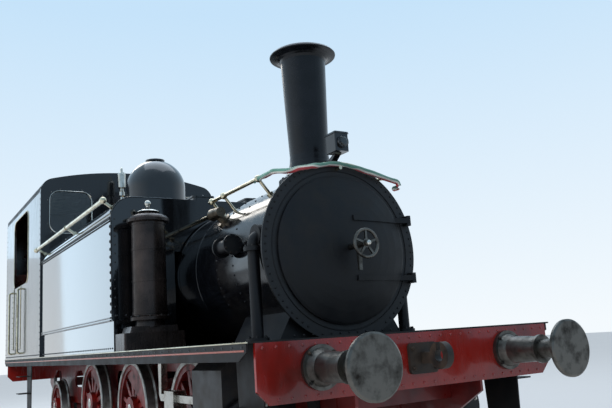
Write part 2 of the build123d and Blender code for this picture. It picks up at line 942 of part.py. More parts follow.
# Door fastening: spindle, handwheel and locking handle
spindle_radius = 26
rim_thickness = 14
lock_handle_length = 210
spindle_foot = door_back + door_crown
spoke_reach = handwheel_radius - 12
with BuildPart() as handwheel:
    with BuildSketch(along(spindle_foot)):
        with Locations((0, boiler_z)):
            Circle(spindle_radius)
    extrude(amount=handwheel_x + 30 - spindle_foot)
    with BuildSketch(Plane(origin=(handwheel_x, 0, boiler_z), x_dir=(1, 0, 0), z_dir=(0, -1, 0))):
        with Locations((0, handwheel_radius - rim_thickness)):
            RegularPolygon(rim_thickness, 12)
    revolve(axis=Axis((0, 0, boiler_z), (1, 0, 0)))
    with BuildSketch(along(handwheel_x - 9)):
        with Locations((0, boiler_z)):
            Circle(spindle_radius + 12)
            with PolarLocations(0, 5, start_angle=90):
                Polygon((20, -10), (spoke_reach, -8), (spoke_reach, 8), (20, 10), align=None)
    extrude(amount=18)
    with BuildSketch(along(handwheel_x - 120)):
        with Locations((0, boiler_z)):
            Circle(spindle_radius + 16)
            Polygon((-22, 20), (-16, -lock_handle_length), (16, -lock_handle_length), (22, 20), align=None)
    extrude(amount=24)
save(handwheel, "door_handwheel")

# Chimney: turned foot, flared barrel and brimmed cap, with a straight flue and a wider mouth
with BuildPart() as chimney:
    with BuildSketch(Plane(origin=(chimney_x, 0, 0), x_dir=(1, 0, 0), z_dir=(0, -1, 0))):
        with BuildLine():
            Polyline(
                (chimney_bore, chimney_seat_z),
                (chimney_foot_radius, chimney_seat_z),
                *stepped(
                    (chimney_foot_radius, chimney_flare_z),
                    (chimney_waist + 6, chimney_flare_z + 40),
                    (chimney_waist, chimney_foot_top),
                    6,
                ),
                *stepped(
                    (chimney_top_radius, chimney_neck_z),
                    (chimney_top_radius + 8, chimney_rim_z - 8),
                    (chimney_rim_radius, chimney_rim_z),
                    4,
                ),
                *stepped(
                    (chimney_rim_radius + 3, chimney_rim_z + 10),
                    (chimney_rim_radius - 16, chimney_top_z - 6),
                    (chimney_mouth + 34, chimney_top_z),
                    4,
                ),
                (chimney_mouth, chimney_top_z),
                (chimney_mouth, chimney_top_z - mouth_depth),
                (chimney_bore, chimney_top_z - mouth_depth),
                (chimney_bore, chimney_seat_z),
            )
        make_face()
    revolve(axis=Axis((chimney_x, 0, 0), (0, 0, 1)))
    with BuildSketch(along(boiler_front)):
        with Locations((0, boiler_z)):
            Circle(smokebox_radius)
    extrude(amount=smokebox_front - boiler_front, mode=Mode.SUBTRACT)
save(chimney, "chimney")

# Dome with base ring, round top and a small cover disc
dome_spring = dome_top - dome_radius
dome_slant = dome_radius * math.cos(math.radians(45))
dome_shoulder = (dome_slant, dome_spring + dome_slant)
with BuildPart() as dome:
    with BuildSketch(Plane(origin=(dome_x, 0, 0), x_dir=(1, 0, 0), z_dir=(0, -1, 0))):
        with BuildLine():
            Polyline(
                (0, dome_top),
                (0, tank_top),
                (dome_radius + 45, tank_top),
                (dome_radius + 45, tank_top + 18),
                (dome_radius, tank_top + 48),
                (dome_radius, dome_spring),
            )
            ThreePointArc((dome_radius, dome_spring), dome_shoulder, (0, dome_top))
        make_face()
        with Locations((0, dome_top - 16)):
            Rectangle(140, 26, align=(Align.MIN, Align.MIN))
        with Locations((0, dome_top)):
            Rectangle(22, 36, align=(Align.MIN, Align.MIN))
    revolve(axis=Axis((dome_x, 0, 0), (0, 0, 1)))
save(dome, "dome")

# Whistle on its stem
with BuildPart() as whistle:
    with BuildSketch(Plane(origin=(whistle_x, whistle_y, 0), x_dir=(1, 0, 0), z_dir=(0, -1, 0))):
        with BuildLine():
            Polyline(
                (0, tank_top),
                (75, tank_top),
                (75, tank_top + 22),
                (26, tank_top + 34),
                *[(radius, whistle_top - drop) for radius, drop in whistle_turnings],
                (0, whistle_top),
                (0, tank_top),
            )
        make_face()
    revolve(axis=Axis((whistle_x, whistle_y, 0), (0, 0, 1)))
save(whistle, "whistle")

# Pair of safety valves behind the dome
valve_x, valve_y = -1420, 170
valve_spread = 85
valve_seat = 60
valve_height = 240
with BuildPart() as safety_valves:
    with BuildSketch(level(tank_top)):
        with Locations((valve_x, valve_y)):
            RectangleRounded(180, 330, 40)
    extrude(amount=valve_seat)
    with BuildSketch(level(tank_top + valve_seat)):
        with Locations((valve_x, valve_y - valve_spread), (valve_x, valve_y + valve_spread)):
            Circle(58)
    extrude(amount=valve_height, taper=3)
    with BuildSketch(level(tank_top + valve_seat + valve_height)):
        with Locations((valve_x, valve_y)):
            RectangleRounded(44, 260, 20)
    extrude(amount=24)
save(safety_valves, "safety_valves")

# Side tanks with rounded outer corners and a plinth under them
for side, hand in hands:
    with BuildPart() as tank:
        with BuildSketch(along(cab_front)):
            with BuildLine():
                Polyline(
                    (side * (tank_half_width - tank_corner), tank_top),
                    (side * tank_inner, tank_top),
                    (side * tank_inner, board_top),
                    (side * (tank_half_width - tank_skirt), board_top),
                    (side * (tank_half_width - tank_skirt), tank_bottom),
                    (side * tank_half_width, tank_bottom),
                    (side * tank_half_width, tank_top - tank_corner),
                )
                RadiusArc(
                    (side * tank_half_width, tank_top - tank_corner),
                    (side * (tank_half_width - tank_corner), tank_top),
                    -side * tank_corner,
                )
            make_face()
        extrude(amount=tank_front - cab_front)
    save(tank, f"tank_{hand}")

# Tank bridge over the boiler with the two filler pockets
with BuildPart() as tank_bridge:
    with BuildSketch(along(cab_front)):
        with Locations((0, tank_top)):
            Rectangle(2 * tank_inner, tank_top - tank_arch_foot, align=(Align.CENTER, Align.MAX))
        with Locations((0, boiler_z)):
            Circle(boiler_radius + tank_arch_gap, mode=Mode.SUBTRACT)
    extrude(amount=tank_front - cab_front)
    with BuildSketch(level(tank_top)):
        with Locations((filler_x, filler_y), (filler_x, -filler_y)):
            RectangleRounded(filler_length - 2 * filler_wall, filler_width - 2 * filler_wall, 20)
    extrude(amount=-filler_pocket, mode=Mode.SUBTRACT)
    with BuildSketch(level(tank_top)):
        with Locations((filler_x, filler_y), (filler_x, -filler_y)):
            RectangleRounded(filler_length, filler_width, 36)
            RectangleRounded(
                filler_length - 2 * filler_wall, filler_width - 2 * filler_wall, 20, mode=Mode.SUBTRACT
            )
    extrude(amount=filler_height)
    lid_hinge_x = filler_x - filler_length / 2 - 32
    lid_hinge_z = tank_top + filler_height + lid_thickness / 2
    for place in (filler_y, -filler_y):
        for end in (-78, 78):
            with BuildSketch(across(place + end)):
                with Locations((lid_hinge_x, lid_hinge_z)):
                    Circle(16)
                with Locations((lid_hinge_x, tank_top)):
                    Rectangle(32, lid_hinge_z - tank_top, align=(Align.CENTER, Align.MIN))
            extrude(amount=9, both=True)
        with BuildSketch(across(place)):
            with Locations((lid_hinge_x, lid_hinge_z)):
                Circle(7)
        extrude(amount=80, both=True)
save(tank_bridge, "tank_bridge")

# Filler lids
for side, hand in hands:
    with BuildPart() as filler_lid:
        with BuildSketch(level(tank_top + filler_height + seat_gap)):
            with Locations((filler_x, side * filler_y)):
                RectangleRounded(filler_length + 2 * lid_overlap, filler_width + 2 * lid_overlap, 40)
        extrude(amount=lid_thickness)
        with BuildSketch(across(side * filler_y)):
            with Locations((lid_hinge_x, lid_hinge_z)):
                Circle(16)
            with Locations((lid_hinge_x, lid_hinge_z - 5)):
                Rectangle(60, 12, align=(Align.MIN, Align.MIN))
        extrude(amount=64, both=True)
        with BuildSketch(across(side * filler_y)):
            with Locations((filler_x + filler_length / 2 - 50, tank_top + filler_height + lid_thickness)):
                SlotOverall(76, 24)
        extrude(amount=9, both=True)
        with BuildSketch(across(side * filler_y)):
            with Locations((lid_hinge_x, lid_hinge_z)):
                Circle(7 + running_gap)
        extrude(amount=64, both=True, mode=Mode.SUBTRACT)
    save(filler_lid, f"filler_lid_{hand}")

# Cab outline: flat sides, round shoulders and a long-radius roof
roof_centre = cab_crown - roof_radius
shoulder_y = cab_half_width - cab_corner
shoulder_z = roof_centre + math.sqrt((roof_radius - cab_corner) ** 2 - shoulder_y**2)
reach = roof_radius / (roof_radius - cab_corner)
meet_y = shoulder_y * reach
meet_z = roof_centre + (shoulder_z - roof_centre) * reach


def cab_outline(bottom, inset):
    """End view of the cab from a bottom height, drawn in by an inset."""
    wall = cab_half_width - inset
    corner = cab_corner - inset
    slope = (roof_radius - inset) / (roof_radius - cab_corner)
    join = (shoulder_y * slope, roof_centre + (shoulder_z - roof_centre) * slope)
    with BuildSketch() as outline:
        with BuildLine():
            Polyline((-wall, shoulder_z), (-wall, bottom), (wall, bottom), (wall, shoulder_z))
            RadiusArc((wall, shoulder_z), join, -corner)
            RadiusArc(join, (-join[0], join[1]), -(roof_radius - inset))
            RadiusArc((-join[0], join[1]), (-wall, shoulder_z), -corner)
        make_face()
    return outline.sketch


# Cab front plate with two large rounded windows
window_middle = (front_window_inner + front_window_outer) / 2
window_height = (front_window_bottom + front_window_top) / 2
with BuildPart() as cab_front_plate:
    with BuildSketch(along(cab_front - cab_wall)):
        add(cab_outline(board_top, 0))
        with Locations((window_middle, window_height), (-window_middle, window_height)):
            RectangleRounded(
                front_window_outer - front_window_inner,
                front_window_top - front_window_bottom,
                front_window_corner,
                mode=Mode.SUBTRACT,
            )
    extrude(amount=cab_wall)
save(cab_front_plate, "cab_front")

# Cab back plate with two smaller windows
with BuildPart() as cab_back_plate:
    with BuildSketch(along(cab_back)):
        add(cab_outline(board_top, 0))
        with Locations((back_window_y, back_window_z), (-back_window_y, back_window_z)):
            RectangleRounded(back_window_size, back_window_size, back_window_corner, mode=Mode.SUBTRACT)
    extrude(amount=cab_wall)
save(cab_back_plate, "cab_back")

# Cab roof from shoulder to shoulder
cab_length = cab_front - cab_back - 2 * cab_wall
with BuildPart() as cab_roof:
    with BuildSketch(along(cab_back + cab_wall)):
        add(cab_outline(board_top, 0))
        add(cab_outline(board_top, roof_thickness), mode=Mode.SUBTRACT)
        with Locations((0, shoulder_z)):
            Rectangle(2 * cab_half_width, shoulder_z, align=(Align.CENTER, Align.MAX), mode=Mode.SUBTRACT)
    extrude(amount=cab_length)
save(cab_roof, "cab_roof")

# Cab sides: window and doorway cut through, hinge brackets for the half doors
side_middle = cab_half_width - cab_wall / 2
door_axis_x = window_back + 6
door_axis_y = cab_half_width - cab_wall - 20
door_bottom = cab_floor_top + 6
door_top = window_sill
hinge_heights = (door_bottom + 170, door_top - 190)
for side, hand in hands:
    with BuildPart() as cab_side:
        with BuildSketch(across(side * side_middle)):
            with Locations((cab_back + cab_wall, board_top)):
                Rectangle(cab_length, shoulder_z - board_top, align=(Align.MIN, Align.MIN))
            with Locations(((window_front + window_back) / 2, (window_sill + window_top) / 2)):
                RectangleRounded(
                    window_front - window_back, window_top - window_sill, window_corner, mode=Mode.SUBTRACT
                )
            with Locations((window_back, cab_floor_top)):
                Rectangle(
                    door_front - window_back,
                    window_top - window_corner - cab_floor_top,
                    align=(Align.MIN, Align.MIN),
                    mode=Mode.SUBTRACT,
                )
        extrude(amount=cab_wall / 2, both=True)
        for height in hinge_heights:
            for end in (-52, 32):
                with BuildSketch(level(height + end)):
                    with Locations((door_axis_x, side * door_axis_y)):
                        Circle(14)
                        Rectangle(60, 28, align=(Align.MAX, Align.CENTER))
                    with Locations((door_axis_x - 20, side * (cab_half_width - cab_wall))):
                        Rectangle(40, 34, align=(Align.MAX, Align.MAX if side == left else Align.MIN))
                extrude(amount=20)
            with BuildSketch(level(height - 52)):
                with Locations((door_axis_x, side * door_axis_y)):
                    Circle(7)
            extrude(amount=104)
    save(cab_side, f"cab_side_{hand}")

# Cab half doors
door_gap = 6
for side, hand in hands:
    with BuildPart() as cab_door:
        with BuildSketch(across(side * side_middle)):
            with Locations((window_back + 2 * door_gap, door_bottom)):
                Rectangle(
                    door_front - window_back - 3 * door_gap,
                    door_top - door_bottom,
                    align=(Align.MIN, Align.MIN),
                )
        extrude(amount=cab_wall / 2 - 2, both=True)
        for height in hinge_heights:
            with BuildSketch(level(height - 30)):
                with Locations((door_axis_x, side * door_axis_y)):
                    Circle(14)
                with Locations((door_axis_x, side * (door_axis_y + 5))):
                    Rectangle(60, 20, align=(Align.MIN, Align.MIN if side == left else Align.MAX))
            extrude(amount=60)
            with BuildSketch(level(height - 30)):
                with Locations((door_axis_x, side * door_axis_y)):
                    Circle(7 + running_gap)
            extrude(amount=60, mode=Mode.SUBTRACT)
    save(cab_door, f"cab_door_{hand}")

# Cab floor on its bearers
inner_half = cab_half_width - cab_wall
with BuildPart() as cab_floor:
    with BuildSketch(level(cab_floor_top - floor_board)):
        with Locations((cab_front - cab_wall, 0)):
            Rectangle(cab_front - cab_wall - bunker_front, 2 * inner_half, align=(Align.MAX, Align.CENTER))
    extrude(amount=floor_board)
    with BuildSketch(level(board_top)):
        with Locations((cab_front - 120, 0), (cab_front - 1200, 0), (bunker_front + 80, 0)):
            Rectangle(100, 2 * inner_half - 40)
    extrude(amount=cab_floor_top - floor_board - board_top)
save(cab_floor, "cab_floor")

# Bunker behind the cab: front wall with a coal door opening and a sloping floor
bunker_slope_top = 1900
with BuildPart() as bunker:
    with BuildSketch(along(bunker_front - cab_wall)):
        with Locations((0, board_top)):
            Rectangle(2 * inner_half, bunker_top - board_top, align=(Align.CENTER, Align.MIN))
        with Locations((0, cab_floor_top + 60)):
            Rectangle(560, 560, align=(Align.CENTER, Align.MIN), mode=Mode.SUBTRACT)
    extrude(amount=cab_wall)
    with BuildSketch(across(0)):
        with BuildLine():
            Polyline(
                (bunker_front - cab_wall, board_top),
                (bunker_front - cab_wall, cab_floor_top + 20),
                (cab_back + cab_wall, bunker_slope_top),
                (cab_back + cab_wall, board_top),
                (bunker_front - cab_wall, board_top),
            )
        make_face()
    extrude(amount=inner_half, both=True)
save(bunker, "bunker")

# Backhead of the firebox inside the cab
with BuildPart() as backhead:
    with BuildSketch(along(backhead_back)):
        with Locations((0, boiler_z)):
            Circle(backhead_half_width)
        with Locations((0, cab_floor_top)):
            Rectangle(2 * backhead_half_width, boiler_z - cab_floor_top, align=(Align.CENTER, Align.MIN))
    extrude(amount=cab_front - cab_wall - backhead_back)
    with BuildSketch(along(backhead_back)):
        with Locations((0, cab_floor_top + 330)):
            RectangleRounded(460, 340, 60)
    extrude(amount=-40)
    with BuildSketch(along(backhead_back)):
        with Locations((0, boiler_z + 330)):
            Circle(70)
            Polygon((-22, 0), (-430, 150), (-430, 176), (22, 30), align=None)
    extrude(amount=-90)
save(backhead, "backhead")

# Window glass in the cab front and back
with BuildPart() as window_glass:
    with BuildSketch(along(cab_front - cab_wall / 2)):
        with Locations((window_middle, window_height), (-window_middle, window_height)):
            RectangleRounded(
                front_window_outer - front_window_inner,
                front_window_top - front_window_bottom,
                front_window_corner,
            )
    extrude(amount=glass / 2, both=True)
    with BuildSketch(along(cab_back + cab_wall / 2)):
        with Locations((back_window_y, back_window_z), (-back_window_y, back_window_z)):
            RectangleRounded(back_window_size, back_window_size, back_window_corner)
    extrude(amount=glass / 2, both=True)
save(window_glass, "window_glass")

# Cab handrails beside the doorways
grab_radius = 16
grab_y = cab_half_width + 60
with BuildPart() as cab_handrails:
    for place in (door_front + 90, window_back - 90):
        with BuildLine(Plane.YZ.offset(place)) as grab_path:
            FilletPolyline(
                (cab_half_width, cab_floor_top - 60),
                (grab_y, cab_floor_top - 60),
                (grab_y, window_sill - 60),
                (cab_half_width, window_sill - 60),
                radius=30,
            )
        with BuildSketch(Plane(origin=(place, cab_half_width, cab_floor_top - 60), z_dir=(0, 1, 0))):
            Circle(grab_radius)
        sweep(path=grab_path.line)
    mirror(about=Plane.XZ)
save(cab_handrails, "cab_handrails")

# Handrails along the tanks on brackets, with ball ends
bracket_places = (tank_rail_front - 30, 181, tank_rail_back + 130)
bracket_width = 26
with BuildPart() as tank_handrails:
    with BuildSketch(along(tank_rail_back)):
        with Locations((tank_rail_y, tank_rail_z)):
            Circle(rail_radius)
    extrude(amount=tank_rail_front - tank_rail_back)
    with Locations((tank_rail_front, tank_rail_y, tank_rail_z), (tank_rail_back, tank_rail_y, tank_rail_z)):
        Sphere(rail_radius + 12)
    corner_y, corner_z = tank_half_width - tank_corner, tank_top - tank_corner
    post_angle = math.degrees(math.atan2(tank_rail_z - corner_z, tank_rail_y - corner_y))
    post_length = math.hypot(tank_rail_y - corner_y, tank_rail_z - corner_z) - tank_corner
    for place in bracket_places:
        with BuildSketch(along(place)):
            with Locations(Location((corner_y, corner_z, 0), (0, 0, post_angle))):
                with Locations((tank_corner, 0)):
                    Rectangle(post_length, bracket_width, align=(Align.MIN, Align.CENTER))
                    Rectangle(12, 2 * bracket_width, align=(Align.MIN, Align.CENTER))
                with Locations((tank_corner + post_length, 0)):
                    Circle(rail_radius + 8)
        extrude(amount=bracket_width / 2, both=True)
    with BuildSketch(along(cab_front)):
        with Locations((corner_y, corner_z)):
            Circle(tank_corner)
    extrude(amount=tank_front - cab_front, mode=Mode.SUBTRACT)
    mirror(about=Plane.XZ)
save(tank_handrails, "tank_handrails")

# Handrail along the boiler and round the smokebox front, on ball knobs
knob_places = ((2700, boiler_radius), (2980, boiler_radius), (3715, smokebox_radius))
knob_radius = 34
knob_stem_radius = 15
knob_base_thickness = 22
rail_post_drop = 62
rail_post_rise = 38
rail_post_radius = 12
rail_stud_radius = 16
rail_front_x = smokebox_front + front_plate_thickness + 50
rail_distance = math.hypot(boiler_rail_y, boiler_rail_z - boiler_z)
knob_angle = math.atan2(boiler_rail_z - boiler_z, boiler_rail_y)
with BuildPart() as rail_tube:
    with BuildLine() as rail_path:
        FilletPolyline(
            (boiler_rail_back, -boiler_rail_y, boiler_rail_z),
            (rail_front_x - 170, -boiler_rail_y, boiler_rail_z),
            (rail_front_x, -rail_corner_y, rail_corner_z),
            (rail_front_x, 0, rail_crown),
            (rail_front_x, rail_corner_y, rail_corner_z),
            (rail_front_x - 170, boiler_rail_y, boiler_rail_z),
            (boiler_rail_back, boiler_rail_y, boiler_rail_z),
            radius=(120, 100, 800, 100, 120),
        )
    with BuildSketch(along(boiler_rail_back)):
        with Locations((-boiler_rail_y, boiler_rail_z)):
            Circle(boiler_rail_radius)
    sweep(path=rail_path.line)
with BuildPart() as boiler_handrail:
    add(rail_tube.part)
    for place, shell_radius in knob_places:
        stem_length = rail_distance - shell_radius - seat_gap
        for side in (left, right):
            knob_plane = Plane(
                origin=(place, side * boiler_rail_y, boiler_rail_z),
                x_dir=(0, -side * math.sin(knob_angle), math.cos(knob_angle)),
                z_dir=(0, side * math.cos(knob_angle), math.sin(knob_angle)),
            )
            with Locations(knob_plane):
                Sphere(knob_radius)
            with BuildSketch(knob_plane):
                Circle(knob_stem_radius)
            extrude(amount=-stem_length)
            with BuildSketch(knob_plane.offset(knob_base_thickness - stem_length)):
                Circle(2 * knob_stem_radius)
            extrude(amount=-knob_base_thickness)
    with BuildSketch(along(smokebox_front + front_plate_thickness)):
        with Locations((0, rail_crown - rail_post_drop)):
            Circle(rail_stud_radius)
    extrude(amount=rail_front_x + rail_post_radius + 4 - smokebox_front - front_plate_thickness)
    with BuildSketch(level(rail_crown - rail_post_drop)):
        with Locations((rail_front_x, 0)):
            Circle(rail_post_radius)
    extrude(amount=rail_post_rise)
save(boiler_handrail, "boiler_handrail")

# Air pump: stepped box, jacketed cylinder with domed lid and ball finial
pump_ball_radius = 34
with BuildPart() as air_pump:
    with BuildSketch(level(board_top)):
        with Locations((pump_x, pump_y)):
            RectangleRounded(320, 620, 20)
    extrude(amount=pump_box_top - board_top)
    with BuildSketch(level(pump_box_top)):
        with Locations((pump_x, pump_y)):
            RectangleRounded(310, 500, 20)
    extrude(amount=60, taper=15)
    with BuildSketch(Plane(origin=(pump_x, pump_y, 0), x_dir=(1, 0, 0), z_dir=(0, -1, 0))):
        with BuildLine():
            Polyline(
                (0, pump_box_top + 50),
                (150, pump_box_top + 50),
                (140, pump_bottom - 40),
                (pump_radius - 20, pump_bottom - 30),
                (pump_radius - 20, pump_bottom),
                (pump_radius - 45, pump_bottom + 15),
                (pump_radius - 45, pump_top - 40),
                (pump_radius, pump_top - 30),
                (pump_radius, pump_top),
            )
            Polyline(
                *stepped((pump_radius, pump_top), (pump_radius - 20, pump_top + 52), (46, pump_top + 66), 5),
                (46, pump_top + 76),
                (100, pump_top + 82),
                (92, pump_top + 96),
                (28, pump_top + 112),
                (18, pump_top + 140),
                (0, pump_top + 140),
                (0, pump_box_top + 50),
            )
        make_face()
    revolve(axis=Axis((pump_x, pump_y, 0), (0, 0, 1)))
    with Locations((pump_x, pump_y, pump_top + 172)):
        Sphere(pump_ball_radius)
save(air_pump, "air_pump")

# Steam pipes from the smokebox sides down to the running board over the cylinders
pipe_flange = 95
pipe_collar = 82
with BuildPart() as steam_pipes:
    with BuildLine(Plane.YZ.offset(steam_pipe_x)) as pipe_path:
        FilletPolyline(
            (steam_pipe_y, board_top),
            (steam_pipe_y, steam_elbow_z),
            (steam_pipe_y - 160, steam_elbow_z),
            radius=75,
        )
    with BuildSketch(Plane(origin=(steam_pipe_x, steam_pipe_y, board_top), z_dir=(0, 0, 1))):
        Circle(steam_pipe_radius)
    sweep(path=pipe_path.line)
    with BuildSketch(level(board_top)):
        with Locations((steam_pipe_x, steam_pipe_y)):
            Circle(pipe_flange)
    extrude(amount=26)
    with BuildSketch(level(steam_elbow_z - 130)):
        with Locations((steam_pipe_x, steam_pipe_y)):
            Circle(pipe_collar)
    extrude(amount=36)
    with BuildSketch(across(steam_pipe_y - 20)):
        with Locations((steam_pipe_x, steam_elbow_z)):
            Circle(pipe_flange)
    extrude(amount=120)
    mirror(about=Plane.XZ)
    with BuildSketch(along(clack_x - 210)):
        with Locations((-clack_y, clack_z)):
            Circle(clack_radius)
    extrude(amount=210)
    with BuildSketch(along(clack_x), along(clack_x - 230)):
        with Locations((-clack_y, clack_z)):
            Circle(clack_flange_radius)
    extrude(amount=20)
    with BuildSketch(across(-clack_y)):
        with Locations((clack_x - 105, clack_z)):
            Circle(clack_radius - 16)
    extrude(amount=-160)
    with BuildSketch(along(boiler_front)):
        with Locations((0, boiler_z)):
            Circle(smokebox_radius)
    extrude(amount=smokebox_front - boiler_front, mode=Mode.SUBTRACT)
save(steam_pipes, "steam_pipes")

# Blower valve on the right of the boiler with its rod from the tank
blower_angle = math.atan2(blower_z - boiler_z, -blower_y)
blower_out = (0, -math.cos(blower_angle), math.sin(blower_angle))
blower_body = 62
blower_neck = 44
blower_seat = 78
with BuildPart() as blower_valve:
    with BuildSketch(along(tank_front)):
        with Locations((blower_y, blower_z)):
            Circle(20)
    extrude(amount=blower_x - tank_front)
    with BuildSketch(along(blower_x - 110)):
        with Locations((blower_y, blower_z)):
            RegularPolygon(46, 6)
    extrude(amount=60)
    with BuildSketch(along(blower_x - 50)):
        with Locations((blower_y, blower_z)):
            Circle(blower_body)
    extrude(amount=190, taper=4)
    with BuildSketch(Plane(origin=(blower_x + 30, blower_y, blower_z), z_dir=blower_out)):
        Circle(blower_neck)
    extrude(amount=-200)
    with BuildSketch(Plane(origin=(blower_x + 30, blower_y, blower_z), z_dir=blower_out).offset(-95)):
        Circle(blower_seat)
    extrude(amount=-80)
    with BuildSketch(along(cab_front)):
        with Locations((0, boiler_z)):
            Circle(boiler_radius)
    extrude(amount=boiler_front - cab_front, mode=Mode.SUBTRACT)
save(blower_valve, "blower_valve")

# Small lamp on its stem over the smokebox front
with BuildPart() as lamp:
    with BuildSketch(level(lamp_bottom)):
        with Locations((lamp_x, 0)):
            RectangleRounded(lamp_size, lamp_size - 20, 14)
    extrude(amount=lamp_size)
    with BuildSketch(level(lamp_bottom + lamp_size)):
        with Locations((lamp_x, 0)):
            RectangleRounded(lamp_size + 16, lamp_size - 4, 18)
    extrude(amount=16, taper=20)
    with BuildSketch(along(lamp_x + lamp_size / 2)):
        with Locations((0, lamp_bottom + lamp_size / 2)):
            Circle(54)
    extrude(amount=22)
    with BuildSketch(across(0)):
        with BuildLine():
            Polyline(
                (smokebox_front - 60, boiler_z + smokebox_radius - 30),
                (smokebox_front - 60, crown_top + 20),
                (lamp_x - 20, lamp_bottom),
                (lamp_x + 20, lamp_bottom),
                (smokebox_front - 10, crown_top),
                (smokebox_front - 1, boiler_z + smokebox_radius - 30),
                (smokebox_front - 60, boiler_z + smokebox_radius - 30),
            )
        make_face()
    extrude(amount=30, both=True)
    with BuildSketch(along(boiler_front)):
        with Locations((0, boiler_z)):
            Circle(smokebox_radius)
    extrude(amount=smokebox_front - boiler_front, mode=Mode.SUBTRACT)
save(lamp, "top_lamp")
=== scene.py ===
"""Paint, rivets, beads, fittings and stage for a side-tank steam locomotive.

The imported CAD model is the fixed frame. Everything here is in metres in its frame:
+X forward, +Y to the left, +Z up, level zero at the bottom of the wheel flanges.
"""

import math

import bpy
from bpy.props import FloatProperty, FloatVectorProperty, PointerProperty
from mathutils import Matrix, Vector, noise


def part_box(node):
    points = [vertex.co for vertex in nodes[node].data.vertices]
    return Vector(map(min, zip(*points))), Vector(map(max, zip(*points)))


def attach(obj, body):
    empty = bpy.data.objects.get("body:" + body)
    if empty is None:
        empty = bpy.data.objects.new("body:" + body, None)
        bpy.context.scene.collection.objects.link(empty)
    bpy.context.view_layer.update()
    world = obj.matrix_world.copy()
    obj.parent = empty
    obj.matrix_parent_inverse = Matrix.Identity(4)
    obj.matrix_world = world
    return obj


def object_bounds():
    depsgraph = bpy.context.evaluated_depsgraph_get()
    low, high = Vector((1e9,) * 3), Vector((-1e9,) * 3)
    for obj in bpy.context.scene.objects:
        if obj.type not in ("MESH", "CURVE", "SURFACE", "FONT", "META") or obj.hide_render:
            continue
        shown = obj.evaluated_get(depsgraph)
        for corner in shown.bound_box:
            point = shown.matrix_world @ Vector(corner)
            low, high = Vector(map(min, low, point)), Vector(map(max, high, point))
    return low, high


bl_info = {
    "name": "Side-tank engine finish",
    "version": (1, 0, 0),
    "blender": (4, 5, 0),
    "location": "3D View > Sidebar > Engine",
    "description": "Paints the engine and adds its rivets, beads, cab fittings and stage",
    "category": "Object",
}

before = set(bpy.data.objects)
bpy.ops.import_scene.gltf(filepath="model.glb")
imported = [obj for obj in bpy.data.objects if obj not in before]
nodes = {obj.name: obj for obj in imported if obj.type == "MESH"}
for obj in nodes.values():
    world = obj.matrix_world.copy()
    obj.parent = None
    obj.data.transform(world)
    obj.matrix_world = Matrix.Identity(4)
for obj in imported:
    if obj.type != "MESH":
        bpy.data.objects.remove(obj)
cad_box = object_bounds()
SIDES = ((1, "left"), (-1, "right"))

tank_low, tank_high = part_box("tank_right")
board_low, board_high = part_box("running_board")
valance_low, valance_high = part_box("valances")
cab_side_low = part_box("cab_side_right")[0]
cab_front_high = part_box("cab_front")[1]
cab_back_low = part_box("cab_back")[0]
barrel_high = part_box("boiler")[1]
beam_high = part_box("buffer_beams")[1]
backhead_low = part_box("backhead")[0]

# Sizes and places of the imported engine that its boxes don't give
BOILER_Z = 2.015
BOILER_RADIUS = 0.685
SMOKEBOX_RADIUS = 0.705
FRONT_PLATE_BACK = 4.105
FRONT_PLATE_FACE = 4.125
DOOR_CROWN_X = 4.248
DOOR_DISH = 2.210
STRAP_SPREAD = 0.260
CHIMNEY_X = 3.695
DOME_X = -0.577
DOME_RADIUS = 0.426
WHISTLE = (-1.425, -0.252)
VALVES = ((-1.420, 0.085), (-1.420, 0.255))
TANK_CORNER = 0.240
TANK_SKIRT = 0.015
TANK_HALF_WIDTH = -tank_low.y
TANK_CORNER_Y = TANK_HALF_WIDTH - TANK_CORNER
TANK_CORNER_Z = tank_high.z - TANK_CORNER
CAB_HALF_WIDTH = -cab_side_low.y
ROOF_RADIUS = 5.000
ROOF_TOP = 4.107
PUMP = (2.190, -1.065)
STEAM_PIPE = (3.925, 0.760)
CYLINDER_Y = 0.995
CYLINDER_Z = 0.603
CYLINDER_ENDS = ((4.250, 1), (3.560, -1))
CYLINDER_JACKET = 0.270
GLAND_X = 3.430
BUFFER_Y = 0.875
BUFFER_Z = 1.088
AXLE_END = 0.835
BACKHEAD_FACE = -2.120
BACKHEAD_RIVET_LINE = 0.548

# Openings of the cab: from rear to front or from middle to side, then from foot to top
SIDE_OPENING = (-4.075, -2.725, 2.480, 3.660)
FRONT_WINDOW = (0.640, 1.268, 3.100, 3.760)
BACK_WINDOW = (0.500, 1.020, 3.070, 3.590)
DOOR_FRONT = -3.375
DOOR_FOOT = 1.440

# Each wheelset's axle along and up, and its tread's radius
AXLES = {
    "front_wheelset": (2.550, 0.603, 0.575),
    "driving_wheelset": (0.700, 0.603, 0.575),
    "rear_wheelset": (-1.150, 0.603, 0.575),
    "trailing_wheelset": (-3.450, 0.453, 0.425),
}

# Levels of the rivet rows and beads on the tanks and the cab
FOOT_ROW_Z = 1.317
EDGE_FOOT_Z = 1.600
STEP_ROW_Z = 1.640
STEP_BEADS_Z = (1.596, 1.622)

# Nearly all of a noise pattern's values lie between these two
SPREAD = (0.3, 0.7)


def linear(colour):
    """Linear RGBA of an sRGB hex colour."""
    channels = [int(colour[i : i + 2], 16) / 255 for i in (1, 3, 5)]
    return [c / 12.92 if c <= 0.04045 else ((c + 0.055) / 1.055) ** 2.4 for c in channels] + [1]


